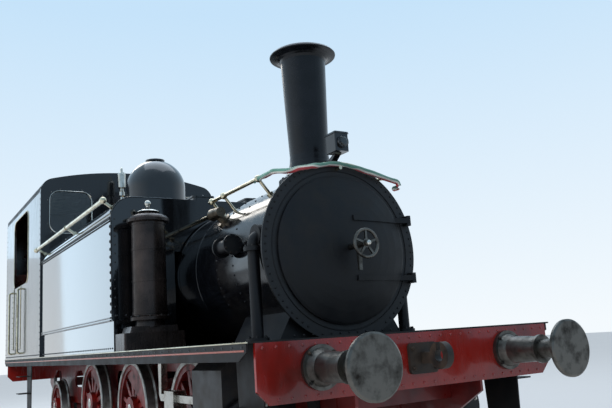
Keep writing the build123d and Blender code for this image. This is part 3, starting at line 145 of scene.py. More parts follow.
def add_node(tree, kind, *values, output=0, **settings):
    """Adds a node and returns one of its outputs, or the node where it has none.

    Values go to its inputs in order, and settings to its options and inputs by name.
    Each is a plain value, a hex colour or another node's output to link.
    """
    node = tree.nodes.new("ShaderNode" + kind)
    given = list(enumerate(values))
    for name, value in settings.items():
        if hasattr(node, name):
            setattr(node, name, value)
        else:
            given.append((name.replace("_", " "), value))
    inputs = [socket for socket in node.inputs if socket.enabled]
    by_name = {socket.name: socket for socket in reversed(inputs)}
    for key, value in given:
        socket = by_name[key] if isinstance(key, str) else inputs[key]
        if isinstance(value, bpy.types.NodeSocket):
            tree.links.new(value, socket)
        else:
            socket.default_value = linear(value) if isinstance(value, str) else value
    outputs = [socket for socket in node.outputs if socket.enabled]
    if not outputs:
        return node
    return node.outputs[output] if isinstance(output, str) else outputs[output]


def new_surface(name):
    """An empty material, its node tree and the place on the piece in metres."""
    material = bpy.data.materials.new(name)
    material.use_nodes = True
    tree = material.node_tree
    tree.nodes.clear()
    return material, tree, add_node(tree, "TexCoord", output="Object")


def cover(tree, relief=None, strength=0.0, depth_mm=0.0, **settings):
    """The shader that covers the piece, over a relief depth_mm deep."""
    if relief:
        height = {"Height": relief, "Strength": strength, "Distance": depth_mm / 1000}
        settings["Normal"] = add_node(tree, "Bump", **height)
    add_node(tree, "OutputMaterial", add_node(tree, "BsdfPrincipled", **settings))


def grain(tree, place, size_mm, detail=3.0, stretch=(1, 1, 1)):
    """Noise whose lumps are about size_mm across, stretched along an axis."""
    spread = add_node(tree, "Mapping", place, Scale=stretch)
    return add_node(tree, "TexNoise", spread, Scale=1000 / size_mm, Detail=detail, Roughness=0.55)


def worn_paint(tree, pattern, reach, clean, worn):
    """Colour that goes from clean to worn as the pattern rises through its reach."""
    share = add_node(tree, "MapRange", pattern, *reach)
    return add_node(tree, "Mix", share, clean, worn, data_type="RGBA")


def varnish_plate(tree, place, colour, roughness=(0.12, 0.26), ripple_mm=0.5, varnish=0.5):
    """Brush streaks under varnish, on steel plate that is never quite flat."""
    streaks = grain(tree, place, 60, detail=4, stretch=(1, 1, 0.18))
    cover(
        tree, grain(tree, place, 260, detail=1), 0.35, ripple_mm,
        Base_Color=colour,
        Roughness=add_node(tree, "MapRange", streaks, *SPREAD, *roughness),
        IOR=1.5, Coat_Weight=varnish, Coat_Roughness=0.05,
    )


def enamel(name, colour, worn, *gloss):
    """Brushed and varnished enamel: deep, wet gloss, a little paler in clouds where it is worn."""
    material, tree, place = new_surface(name)
    clouds = grain(tree, place, 420, detail=5)
    varnish_plate(tree, place, worn_paint(tree, clouds, (0.42, 0.75), colour, worn), *gloss)
    return material


def cast_paint(name, colour, worn, grit_mm=5, roughness=(0.32, 0.6)):
    """Satin paint over sand-cast iron: soft sheen broken by a fine, gritty skin."""
    material, tree, place = new_surface(name)
    soot = grain(tree, place, 150, detail=6)
    cover(
        tree, grain(tree, place, grit_mm, detail=2), 0.3, 0.5,
        Base_Color=worn_paint(tree, soot, (0.4, 0.7), colour, worn),
        Roughness=add_node(tree, "MapRange", soot, *SPREAD, *roughness),
        IOR=1.4,
    )
    return material


def machined(name, colour, stained, roughness=(0.16, 0.34), along=(0.05, 1, 1)):
    """Machined and oiled metal: bright, with tool lines 3 mm apart, coarse enough to show, under oil."""
    material, tree, place = new_surface(name)
    lines = grain(tree, place, 3, detail=2, stretch=along)
    film = grain(tree, place, 90, detail=4)
    cover(
        tree, lines, 0.12, 0.15,
        Base_Color=worn_paint(tree, film, (0.45, 0.75), colour, stained),
        Roughness=add_node(tree, "MapRange", film, *SPREAD, *roughness),
        Metallic=1.0,
    )
    return material


def wheel_enamel(name, axle_x, axle_z, tread_radius):
    """Red enamel on cast spokes inside a turned steel tyre, told apart by the distance from the axle."""
    material, tree, place = new_surface(name)
    disc = add_node(tree, "VectorMath", place, (1, 0, 1), operation="MULTIPLY")
    from_axle = add_node(
        tree, "VectorMath", disc, (axle_x, 0, axle_z), operation="DISTANCE", output="Value"
    )
    tyre_foot = tread_radius - 0.060
    tyre = add_node(tree, "MapRange", from_axle, tyre_foot - 0.002, tyre_foot + 0.002)
    grime = grain(tree, place, 120, detail=5)
    paint = worn_paint(tree, grime, (0.42, 0.72), "#8A1C17", "#3A1613")
    steel = worn_paint(tree, grime, (0.4, 0.7), "#A9A7A2", "#6E675F")
    cover(
        tree, grain(tree, place, 6, detail=2), 0.2, 0.3,
        Base_Color=add_node(tree, "Mix", tyre, paint, steel, data_type="RGBA"),
        Metallic=tyre,
        Roughness=add_node(tree, "MapRange", grime, *SPREAD, 0.36, 0.58),
        IOR=1.5,
    )
    return material


def cab_wall_paint(outside):
    """Black enamel outside and dark oil-brown paint on the inside faces of the cab sheets."""
    material, tree, place = new_surface("Black_enamel_outside_brown_oil_paint_inside")
    along = add_node(tree, "SeparateXYZ", place, output="X")
    across = add_node(tree, "Math", add_node(tree, "SeparateXYZ", place, output="Y"), operation="ABSOLUTE")
    inside = 1.0
    # The paints meet inside the sheets' thickness: each end is named with its values below and above
    for way, meeting, below, above in (
        (across, CAB_HALF_WIDTH - 0.020, 1, 0),
        (along, cab_front_high.x - 0.015, 1, 0),
        (along, cab_back_low.x + 0.015, 0, 1),
    ):
        within = add_node(tree, "MapRange", way, meeting - 0.0001, meeting, below, above)
        inside = add_node(tree, "Math", inside, within, operation="MULTIPLY")
    clouds = grain(tree, place, 420, detail=5)
    outer = worn_paint(tree, clouds, (0.42, 0.75), outside, "#12151A")
    inner = worn_paint(tree, clouds, (0.42, 0.7), "#3C1E17", "#22130F")
    varnish_plate(tree, place, add_node(tree, "Mix", inside, outer, inner, data_type="RGBA"))
    return material


def smokebox_paint(colour):
    """Heat-proof black paint: buffed to a gloss on the rolled shell, left matt on the cast front plate."""
    material, tree, place = new_surface("Heatproof_black_paint_gloss_shell_matt_front")
    along = add_node(tree, "SeparateXYZ", place, output="X")
    front = add_node(tree, "MapRange", along, FRONT_PLATE_BACK - 0.002, FRONT_PLATE_BACK)
    soot = grain(tree, place, 150, detail=6)
    gloss = add_node(tree, "MapRange", soot, *SPREAD, 0.08, 0.2)
    matt = add_node(tree, "MapRange", soot, *SPREAD, 0.45, 0.62)
    cover(
        tree, grain(tree, place, 220, detail=1), 0.3, 0.5,
        Base_Color=worn_paint(tree, soot, (0.4, 0.7), colour, "#1B1A1A"),
        Roughness=add_node(tree, "Mix", front, gloss, matt),
        IOR=1.5,
    )
    return material


def float_glass():
    """Clear float glass, drawn flat: sharp reflections, a true refraction and a green tinge."""
    material, tree, place = new_surface("Clear_float_glass")
    smear = grain(tree, place, 180, detail=4)
    cover(
        tree,
        Base_Color=worn_paint(tree, smear, SPREAD, "#F4FAF8", "#E4EFEA"),
        Roughness=add_node(tree, "MapRange", smear, *SPREAD, 0.0, 0.04),
        Transmission_Weight=1.0, IOR=1.52,
    )
    return material


def worn_boards():
    """Oiled pine floorboards, sawn 150 mm wide: long fibres, dull oil and dark joints."""
    material, tree, place = new_surface("Pine_floorboards_worn")
    fibres = grain(tree, place, 12, detail=5, stretch=(0.06, 1, 1))
    boards = add_node(
        tree, "TexWave", place, output="Fac",
        wave_type="BANDS", bands_direction="Y", Scale=2 * math.pi / (20 * 0.150),
    )
    joint = add_node(tree, "MapRange", boards, 0.0, 0.02, 1, 0)
    wood = worn_paint(tree, fibres, SPREAD, "#7A5A3C", "#4A3424")
    cover(
        tree, boards, 0.2, 1.0,
        Base_Color=add_node(tree, "Mix", joint, wood, "#1C130D", data_type="RGBA"),
        Roughness=add_node(tree, "MapRange", fibres, *SPREAD, 0.55, 0.8),
        IOR=1.45,
    )
    return material


def sheet_iron():
    """Blued sheet-iron jacket, rolled: brown-grey with soft patches left by heat."""
    material, tree, place = new_surface("Rolled_sheet_iron_jacket")
    heat = grain(tree, place, 220, detail=5)
    rubbed = grain(tree, place, 30, detail=4, stretch=(1, 1, 0.3))
    cover(
        tree, heat, 0.15, 0.6,
        Base_Color=worn_paint(tree, heat, (0.4, 0.7), "#2B2523", "#473D39"),
        Roughness=add_node(tree, "MapRange", rubbed, *SPREAD, 0.2, 0.38),
        Metallic=0.6,
    )
    return material


def ribbon_satin():
    """Satin ribbon, woven in three stripes: a soft sheen along the weft and a fine cross rib."""
    material, tree, _ = new_surface("Woven_satin_ribbon_three_stripes")
    weave = add_node(tree, "TexCoord", output="UV")
    across = add_node(tree, "SeparateXYZ", weave, output="Y")
    # The ribs are drawn 4 mm apart, coarser than real ones, so that they show
    rib = add_node(
        tree, "TexWave", weave, output="Fac", bands_direction="X", Scale=2 * math.pi / (20 * 0.004)
    )
    two_stripes = worn_paint(tree, across, (0.38, 0.40), "#5E9484", "#E0DED4")
    cover(
        tree, rib, 0.15, 0.3,
        Base_Color=worn_paint(tree, across, (0.62, 0.64), two_stripes, "#C03B40"),
        IOR=1.5, Roughness=0.45, Sheen_Weight=0.4,
    )
    return material


def dial_face():
    """Gauge dial, vitreous enamel on steel: flat white with a glassy skin."""
    material, tree, place = new_surface("White_vitreous_enamel_dial")
    tint = grain(tree, place, 30)
    cover(
        tree,
        Base_Color=worn_paint(tree, tint, SPREAD, "#F1EFE6", "#E3DFD2"),
        Roughness=add_node(tree, "MapRange", tint, *SPREAD, 0.15, 0.25),
        IOR=1.5,
    )
    return material


def seen_rays(tree):
    """One for rays that show the background: from the camera, off a glossy face or through glass."""
    seen = 0.0
    for kind in ("Is Camera Ray", "Is Glossy Ray", "Is Transmission Ray"):
        seen = add_node(tree, "Math", seen, add_node(tree, "LightPath", output=kind), operation="MAXIMUM")
    return seen


def soft_floor(colour):
    """Plain painted floor: matt, lifted towards the backdrop's tone where it is seen, keeping its shadows."""
    material, tree, place = new_surface("Matt_painted_floor")
    patches = add_node(tree, "MapRange", grain(tree, place, 3000), *SPREAD, 0, 0.3)
    cover(
        tree,
        Base_Color=add_node(tree, "Mix", patches, colour, "#A9AEB3", data_type="RGBA"),
        Roughness=0.9,
        Emission_Color="#EAF1F6",
        Emission_Strength=add_node(tree, "Math", seen_rays(tree), 0.34, operation="MULTIPLY"),
    )
    return material


# Materials that several pieces share, filled by the first operator
finish = {}


class Form:
    """Mesh in the making: points and faces in metres, joined from many small forms."""

    def __init__(self):
        self.points = []
        self.faces = []

    def add(self, points, faces):
        """Adds points and the faces between them."""
        start = len(self.points)
        self.points += [tuple(p) for p in points]
        self.faces += [tuple(i + start for i in face) for face in faces]

    def turned(self, profile, centre, axis=(0, 0, 1), steps=16):
        """A turned form: (radius, height) pairs from its foot to its tip, along an axis."""
        stand = Vector(axis).to_track_quat("Z", "Y").to_matrix()
        points, faces = [], []
        for radius, height in profile:
            for c, s in ring(steps):
                points.append(Vector(centre) + stand @ Vector((radius * c, radius * s, height)))
        for low in range(0, (len(profile) - 1) * steps, steps):
            for step in range(steps):
                after = (step + 1) % steps
                faces.append((low + step, low + after, low + steps + after, low + steps + step))
        faces.append(tuple(reversed(range(steps))))
        faces.append(tuple(range(len(points) - steps, len(points))))
        self.add(points, faces)

    def swept(self, path, section, closed=False, up=(0, 0, 1)):
        """A section of (side, up) pairs carried along a path of points."""
        path = [Vector(p) for p in path]
        count, sides = len(path), len(section)
        points, faces = [], []
        for i, p in enumerate(path):
            before = path[i - 1] if i or closed else p
            after = path[(i + 1) % count] if i + 1 < count or closed else p
            ahead = (after - before).normalized()
            side = ahead.cross(Vector(up)).normalized()
            rise = side.cross(ahead)
            points += [p + side * a + rise * b for a, b in section]
        for i in range(count if closed else count - 1):
            a, b = i * sides, ((i + 1) % count) * sides
            for j in range(sides):
                after = (j + 1) % sides
                faces.append((a + j, a + after, b + after, b + j))
        if not closed:
            faces.append(tuple(reversed(range(sides))))
            faces.append(tuple(range((count - 1) * sides, count * sides)))
        self.add(points, faces)

    def hoop(self, centre, radius, section, plane, count=72, up=(1, 0, 0)):
        """A section carried round a full circle, turned into space by plane(a, b)."""
        path = [plane(centre[0] + radius * c, centre[1] + radius * s) for c, s in ring(count)]
        self.swept(path, section, closed=True, up=up)

    def bar(self, first, second):
        """A square-edged bar between two opposite corners."""
        xs, ys, zs = (sorted(pair) for pair in zip(first, second))
        points = [(x, y, z) for x in xs for y in ys for z in zs]
        faces = [(0, 1, 3, 2), (4, 6, 7, 5), (0, 4, 5, 1), (2, 3, 7, 6), (0, 2, 6, 4), (1, 5, 7, 3)]
        self.add(points, faces)

    def piece(self, name, coat, slot, body="engine", bevel_mm=0.0):
        """The finished object in its coat, shaded smooth up to its edges, riding on its body."""
        mesh = bpy.data.meshes.new(name)
        mesh.from_pydata(self.points, [], self.faces)
        mesh.validate()
        mesh.update()
        mesh.shade_smooth()
        mesh.set_sharp_from_angle(angle=math.radians(38))
        mesh.materials.append(finish[coat])
        piece = bpy.data.objects.new(name, mesh)
        bpy.context.scene.collection.objects.link(piece)
        if bevel_mm:
            bevel = piece.modifiers.new("edge", "BEVEL")
            bevel.width = bevel_mm / 1000
            bevel.segments = 2
        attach(piece, body)


def directions(start, end, steps):
    """Pairs of cosine and sine at even steps from one angle to another, in degrees, both included."""
    angles = [math.radians(start + (end - start) * i / steps) for i in range(steps + 1)]
    return [(math.cos(angle), math.sin(angle)) for angle in angles]


def ring(count, shift=0.0):
    """Pairs of cosine and sine evenly round a circle, the first one shifted by a share of a step."""
    first = 360 * shift / count
    return directions(first, first + 360, count)[:-1]


def arc(centre, radius, start, end, steps, plane):
    """Points of an arc, turned into space by the function plane(a, b)."""
    return [plane(centre[0] + radius * c, centre[1] + radius * s) for c, s in directions(start, end, steps)]


def rounded_loop(low_a, high_a, low_b, high_b, radius, plane, steps=6):
    """Closed loop round a rectangle with rounded corners, turned into space by plane(a, b)."""
    corners = (
        (high_a - radius, high_b - radius, 0),
        (low_a + radius, high_b - radius, 90),
        (low_a + radius, low_b + radius, 180),
        (high_a - radius, low_b + radius, 270),
    )
    return [p for a, b, start in corners for p in arc((a, b), radius, start, start + 90, steps, plane)]


def round_section(radius, sides=8):
    """Points of a round section."""
    return [(radius * c, radius * s) for c, s in ring(sides)]


def flat_section(low, high, foot, top=None):
    """Points of a flat strap's section, from low to high and as far to each side as foot and top."""
    top = foot if top is None else top
    return [(low, -foot), (high, -top), (high, top), (low, foot)]


def rivet(form, centre, outward, radius):
    """Snap-head rivet, a low dome standing on the plate."""
    dome = [math.radians(a) for a in (0, 28, 56, 78)]
    profile = [(radius, -0.002)] + [(radius * math.cos(a), 0.75 * radius * math.sin(a)) for a in dome]
    form.turned(profile, centre, outward, steps=10)


def rivet_row(form, start, end, outward, radius, pitch, side=1):
    """A straight row of rivets near the given pitch, laid out for the left and mirrored by side."""
    start, end, outward = (Vector(v) * Vector((1, side, 1)) for v in (start, end, outward))
    count = max(1, round((end - start).length / pitch))
    for i in range(count + 1):
        rivet(form, start.lerp(end, i / count), outward, radius)


def hex_bolt(form, centre, outward, across_flats, height, washer=True):
    """Bolt head, on its washer where it has one, with a short end of thread."""
    corner = across_flats / 2 / math.cos(math.pi / 6)
    if washer:
        form.turned([(corner * 1.15, -0.001), (corner * 1.15, 0.003)], centre, outward, steps=14)
    head = [(corner, -0.001), (corner, height * 0.85), (corner * 0.86, height)]
    form.turned(head, centre, outward, steps=6)
    core = across_flats * 0.28
    form.turned([(core, height * 0.9), (core, height * 1.3)], centre, outward, steps=10)


def bolt_circle(form, centre, outward, radius, count, across_flats, height, shift=0.5, washer=True):
    """Bolts evenly round a circle whose plane faces outward along an axis."""
    across, up = (axis for axis in range(3) if not outward[axis])
    for c, s in ring(count, shift):
        spot = list(centre)
        spot[across] += radius * c
        spot[up] += radius * s
        hex_bolt(form, spot, outward, across_flats, height, washer)


class EnginePaint(bpy.types.PropertyGroup):
    """Colours of the engine's paint."""

    body: FloatVectorProperty(
        name="Body enamel", description="Gloss enamel of tanks, cab and boiler",
        subtype="COLOR", size=3, default=linear("#07090D")[:3], min=0, max=1,
    )
    smokebox: FloatVectorProperty(
        name="Smokebox paint", description="Heat-proof paint of smokebox and chimney",
        subtype="COLOR", size=3, default=linear("#0B0C10")[:3], min=0, max=1,
    )
    frames: FloatVectorProperty(
        name="Frame red", description="Enamel of the frame plates",
        subtype="COLOR", size=3, default=linear("#7E1813")[:3], min=0, max=1,
    )
    lining: FloatVectorProperty(
        name="Lining", description="Thin line painted along the valances",
        subtype="COLOR", size=3, default=linear("#94422C")[:3], min=0, max=1,
    )


class EngineTrim(bpy.types.PropertyGroup):
    """Sizes of rivets, beads and lines."""

    rivet: FloatProperty(
        name="Rivet radius", description="Radius of a plate rivet's head",
        unit="LENGTH", default=0.010, min=0.002, max=0.03,
    )
    tank_rivet: FloatProperty(
        name="Tank edge rivet radius", description="Radius of the large rivets down a tank's front edge",
        unit="LENGTH", default=0.021, min=0.005, max=0.03,
    )
    tank_rivet_pitch: FloatProperty(
        name="Tank edge rivet pitch", description="Distance between the large rivets",
        unit="LENGTH", default=0.078, min=0.04, max=0.2,
    )
    plate_pitch: FloatProperty(
        name="Plate rivet pitch", description="Distance between rivets along a plate's edge",
        unit="LENGTH", default=0.090, min=0.04, max=0.3,
    )
    bead: FloatProperty(
        name="Bead width", description="Width of a half-round bead",
        unit="LENGTH", default=0.018, min=0.005, max=0.03,
    )
    lining: FloatProperty(
        name="Lining width", description="Width of the line along a valance",
        unit="LENGTH", default=0.012, min=0.004, max=0.05,
    )


class EngineStage(bpy.types.PropertyGroup):
    """Floor, sky and even light."""

    floor: FloatVectorProperty(
        name="Floor", description="Colour of the plain floor",
        subtype="COLOR", size=3, default=linear("#B1B5B9")[:3], min=0, max=1,
    )
    sky_low: FloatVectorProperty(
        name="Low sky", description="Background colour low down",
        subtype="COLOR", size=3, default=linear("#F4FAFE")[:3], min=0, max=1,
    )
    sky_high: FloatVectorProperty(
        name="High sky", description="Background colour high up",
        subtype="COLOR", size=3, default=linear("#C6E3FA")[:3], min=0, max=1,
    )
    sky_front: FloatVectorProperty(
        name="Front sky", description="Background colour on the side away from the sun",
        subtype="COLOR", size=3, default=linear("#9DB9D1")[:3], min=0, max=1,
    )
    ambient: FloatProperty(
        name="Ambient", description="Strength of the even light from all round",
        default=0.55, min=0, max=3,
    )


def make_finishes(paint):
    """Makes every material once, from the paint settings."""
    body, heat, frames, lining = (
        (*colour, 1) for colour in (paint.body, paint.smokebox, paint.frames, paint.lining)
    )
    finish.update(
        # Coach enamel, brushed and varnished: deep black that mirrors the sky
        body=enamel("Gloss_black_enamel_varnished", body, "#14171C"),
        # The tank sides are flatted and polished harder, so they mirror almost cleanly
        tank=enamel("Gloss_black_enamel_polished", body, "#0E1116", (0.04, 0.1), 0.3, 1.0),
        cab=cab_wall_paint(body),
        # Heat-proof paint, brushed: satin black with a bloom of ash
        smokebox=cast_paint("Heatproof_satin_black_paint", heat, "#1B1A1A", 9, (0.4, 0.6)),
        shell=smokebox_paint(heat),
        # The same paint rubbed down and blackleaded on the chimney: its edges catch the sky
        stack=cast_paint("Heatproof_black_paint_blackleaded", heat, "#12141A", 14, (0.2, 0.34)),
        # Roof paint, brushed: satin black with dust
        roof=cast_paint("Satin_black_roof_paint", "#121418", "#2A2B2C", 12, (0.35, 0.6)),
        # Frame paint, brushed: nearly matt, so that it stays dark against the enamel
        black=cast_paint("Satin_black_frame_paint", "#0E0E10", "#26211E", 6, (0.5, 0.72)),
        # Frame enamel, brushed: red, dulled by oil and road dirt low down
        red=enamel("Red_frame_enamel_oily", frames, "#3B1512", (0.25, 0.5), 0.4, 0.2),
        # The beams' enamel is wiped clean: a brighter red
        beam=enamel("Red_beam_enamel", "#9A1F17", "#5E1A14", (0.15, 0.32), 0.4, 0.5),
        # Sand-cast iron, painted: a coarse skin under black
        casting=cast_paint("Sand_cast_iron_black_paint", "#17171A", "#2F2A26", 5),
        # Forged steel, blackened in the fire: brown-black with a dry sheen
        forged=cast_paint("Forged_steel_blackened", "#242220", "#4A3D33", 4, (0.4, 0.65)),
        # Milled steel, oiled: silver under a thin warm film
        steel=machined("Machined_steel_oiled", "#BDB9B1", "#989186"),
        # Drawn tube, polished by hands: nearly a mirror
        rail=machined("Drawn_steel_tube_polished", "#DACFB4", "#A8987A", (0.1, 0.24)),
        # Turned brass, polished: yellow with fine rings
        brass=machined("Turned_brass_polished", "#D9B266", "#A4814B", (0.14, 0.3), (1, 1, 0.05)),
        # Cast brass left to the weather: grey-brown and dull
        patina=machined("Cast_brass_with_patina", "#7D7263", "#423A31", (0.25, 0.45), (1, 1, 1)),
        # Drawn copper pipe: warm red, darker where it was hot
        copper=machined("Drawn_copper_pipe", "#C27A57", "#8A5340", (0.2, 0.4)),
        # Nickel plate on turned brass: pale and mirror-smooth
        nickel=machined("Nickel_plated_brass", "#DAD7CE", "#B3ADA0", (0.08, 0.2), (1, 1, 0.05)),
        # Turned buffer heads under old grease: dark and smeared
        buffer=machined("Greased_buffer_steel", "#6E6A64", "#2E2A26", (0.3, 0.55), (1, 1, 1)),
        jacket=sheet_iron(),
        boards=worn_boards(),
        glass=float_glass(),
        ribbon=ribbon_satin(),
        dial=dial_face(),
        # Enamel line, ruled on with a lining brush: thin, level and satin
        lining=enamel("Lining_enamel", lining, "#A03A22", (0.25, 0.4), 0.1, 0.2),
    )
    for node, (axle_x, axle_z, radius) in AXLES.items():
        finish[node] = wheel_enamel(f"Red_wheel_enamel_and_steel_tyre_{node}", axle_x, axle_z, radius)


NODE_FINISH = {
    "body": "boiler tank_bridge filler_lid_left filler_lid_right dome top_lamp",
    "tank": "tank_left tank_right",
    "cab": "cab_front cab_back cab_side_left cab_side_right cab_door_left cab_door_right bunker",
    "shell": "smokebox",
    "smokebox": "smokebox_door smokebox_saddle steam_pipes",
    "stack": "chimney",
    "roof": "cab_roof",
    "black": "running_board valances footsteps guard_irons springs backhead",
    "red": "frame_left frame_right frame_cross_plates",
    "beam": "buffer_beams",
    "casting": "cylinders axleboxes",
    "forged": "draw_hooks",
    "buffer": "buffers door_handwheel",
    "steel": (
        "coupling_rod_left coupling_rod_right connecting_rod_left connecting_rod_right"
        " crosshead_left crosshead_right slide_bars"
    ),
    "rail": "tank_handrails cab_handrails boiler_handrail",
    "nickel": "whistle",
    "brass": "safety_valves",
    "patina": "blower_valve",
    "jacket": "air_pump",
    "boards": "cab_floor",
    "glass": "window_glass",
}


class ENGINE_OT_paint(bpy.types.Operator):
    """Makes the materials and gives every node of the CAD model its own"""

    bl_idname = "engine.paint"
    bl_label = "Paint the engine"

    def execute(self, context):
        make_finishes(context.scene.engine_paint)
        given = {node: node for node in AXLES}
        for key, names in NODE_FINISH.items():
            given.update({node: key for node in names.split()})
        for node, piece in nodes.items():
            piece.data.materials.clear()
            piece.data.materials.append(finish[given[node]])
        return {"FINISHED"}


class ENGINE_OT_tank_rivets(bpy.types.Operator):
    """Rivets down each tank's front edge and along its foot and top"""

    bl_idname = "engine.tank_rivets"
    bl_label = "Tank rivets"

    def execute(self, context):
        trim = context.scene.engine_trim
        front_x = tank_high.x
        edge_x = front_x - 0.020
        foot_y = TANK_HALF_WIDTH - TANK_SKIRT
        plate_y = (0.76, TANK_HALF_WIDTH - 0.05)
        column_y = TANK_HALF_WIDTH - 0.035
        top_y = TANK_CORNER_Y - 0.03
        for side, hand in SIDES:
            edge = Form()
            rivet_row(
                edge, (edge_x, TANK_HALF_WIDTH, 1.680), (edge_x, TANK_HALF_WIDTH, TANK_CORNER_Z),
                (0, 1, 0), trim.tank_rivet, trim.tank_rivet_pitch, side,
            )
            for out_y, out_z in directions(18, 72, 3):
                y = side * (TANK_CORNER_Y + TANK_CORNER * out_y)
                z = TANK_CORNER_Z + TANK_CORNER * out_z
                rivet(edge, (edge_x, y, z), (0, side * out_y, out_z), trim.tank_rivet)
            edge.piece(f"tank_edge_rivets_{hand}", "black", "gloss_black")

            plate = Form()
            rivet_row(
                plate, (cab_front_high.x + 0.05, foot_y, FOOT_ROW_Z), (front_x - 0.05, foot_y, FOOT_ROW_Z),
                (0, 1, 0), trim.rivet, 0.080, side,
            )
            for start, end in (
                ((plate_y[0], FOOT_ROW_Z), (plate_y[1], FOOT_ROW_Z)),
                ((plate_y[0], STEP_ROW_Z), (plate_y[1], STEP_ROW_Z)),
                ((column_y, STEP_ROW_Z), (column_y, TANK_CORNER_Z)),
            ):
                rivet_row(
                    plate, (front_x, *start), (front_x, *end), (1, 0, 0), trim.rivet, trim.plate_pitch, side
                )
            rivet_row(
                plate, (cab_front_high.x + 0.08, top_y, tank_high.z), (front_x - 0.08, top_y, tank_high.z),
                (0, 0, 1), trim.rivet * 0.8, trim.plate_pitch, side,
            )
            plate.piece(f"tank_plate_rivets_{hand}", "body", "gloss_black")
        return {"FINISHED"}


class ENGINE_OT_tank_beads(bpy.types.Operator):
    """Half-round beads along the tank sides and round the front plate's edge"""

    bl_idname = "engine.tank_beads"
    bl_label = "Tank beads"

    def execute(self, context):
        radius = context.scene.engine_trim.bead / 2
        for side, hand in SIDES:
            beads = Form()
            mouldings = Form()
            for form, height, reach in (
                (beads, STEP_BEADS_Z[0], radius),
                (beads, STEP_BEADS_Z[1], radius),
                (mouldings, TANK_CORNER_Z - 0.020, radius),
                (mouldings, TANK_CORNER_Z + 0.014, 0.0165),
            ):
                rise = max(0.0, height - TANK_CORNER_Z)
                out = side * (TANK_CORNER_Y + math.sqrt(TANK_CORNER**2 - rise**2) + 0.001)
                flattened = [(radius / reach * a, b) for a, b in round_section(reach)]
                form.swept([(x, out, height) for x in (cab_front_high.x, tank_high.x - 0.05)], flattened)
            beads.piece(f"tank_beads_{hand}", "body", "gloss_black")
            mouldings.piece(f"tank_mouldings_{hand}", "black", "frame_black")

            edge = Form()
            outline = [(TANK_HALF_WIDTH, EDGE_FOOT_Z), (TANK_HALF_WIDTH, TANK_CORNER_Z)]
            outline += arc((TANK_CORNER_Y, TANK_CORNER_Z), TANK_CORNER, 0, 90, 10, lambda a, b: (a, b))
            outline.append((0.705, tank_high.z))
            path = [(tank_high.x - 0.004, side * y, z) for y, z in outline]
            edge.swept(path, round_section(0.007), up=(1, 0, 0))
            edge.piece(f"tank_front_edge_bead_{hand}", "body", "gloss_black")
        return {"FINISHED"}


class ENGINE_OT_side_plating(bpy.types.Operator):
    """Rivets, lining and bright edges along the valances, running board and cab"""

    bl_idname = "engine.side_plating"
    bl_label = "Side plating"

    def execute(self, context):
        trim = context.scene.engine_trim
        rear_x, front_x = cab_back_low.x, cab_front_high.x
        line_z, line_proud = 1.221, 0.0012
        columns = ((rear_x + 0.035, 3.72), (front_x - 0.035, 3.72), (SIDE_OPENING[0] - 0.13, 2.44))
        for side, hand in SIDES:
            rows = Form()
            rivet_row(
                rows, (valance_low.x + 0.06, valance_high.y, 1.250),
                (valance_high.x - 0.06, valance_high.y, 1.250), (0, 1, 0), trim.rivet * 0.8, 0.150, side,
            )
            rivet_row(
                rows, (rear_x + 0.05, CAB_HALF_WIDTH, FOOT_ROW_Z),
                (front_x - 0.05, CAB_HALF_WIDTH, FOOT_ROW_Z), (0, 1, 0), trim.rivet, trim.plate_pitch, side,
            )
            for x, top in columns:
                rivet_row(
                    rows, (x, CAB_HALF_WIDTH, 1.36), (x, CAB_HALF_WIDTH, top),
                    (0, 1, 0), trim.rivet * 0.8, trim.plate_pitch, side,
                )
            rows.piece(f"side_plate_rivets_{hand}", "body", "gloss_black")

            line = Form()
            line.bar(
                (valance_low.x + 0.03, side * valance_high.y, line_z),
                (valance_high.x - 0.03, side * (valance_high.y + line_proud), line_z + trim.lining),
            )
            line.piece(f"valance_line_{hand}", "lining", "beam_red")

            edge = Form()
            edge_y, edge_z = side * (board_high.y + 0.0005), board_high.z - 0.006
            edge.swept([(x, edge_y, edge_z) for x in (board_low.x, board_high.x)], round_section(0.0055))
            edge.piece(f"board_edge_{hand}", "rail", "bright_steel")

            opening = Form()
            bead_y = side * (CAB_HALF_WIDTH + 0.002)
            loop = rounded_loop(*SIDE_OPENING, 0.150, lambda a, b: (a, bead_y, b))
            # The bead leaves out the stretch over the half door and starts at the corner ahead of it
            over_sill = SIDE_OPENING[2] + 0.010
            kept = [p for p in loop if p[2] > over_sill or p[0] > DOOR_FRONT + 0.015]
            start = next(i for i, p in enumerate(kept) if p[2] < over_sill)
            opening.swept(kept[start:] + kept[:start], round_section(trim.bead * 0.4), up=(0, side, 0))
            for x in (SIDE_OPENING[0], DOOR_FRONT):
                path = [(x, bead_y, z) for z in (DOOR_FOOT, SIDE_OPENING[2])]
                opening.swept(path, round_section(trim.bead * 0.35), up=(0, side, 0))
            opening.piece(f"cab_opening_bead_{hand}", "rail", "bright_steel")
        return {"FINISHED"}


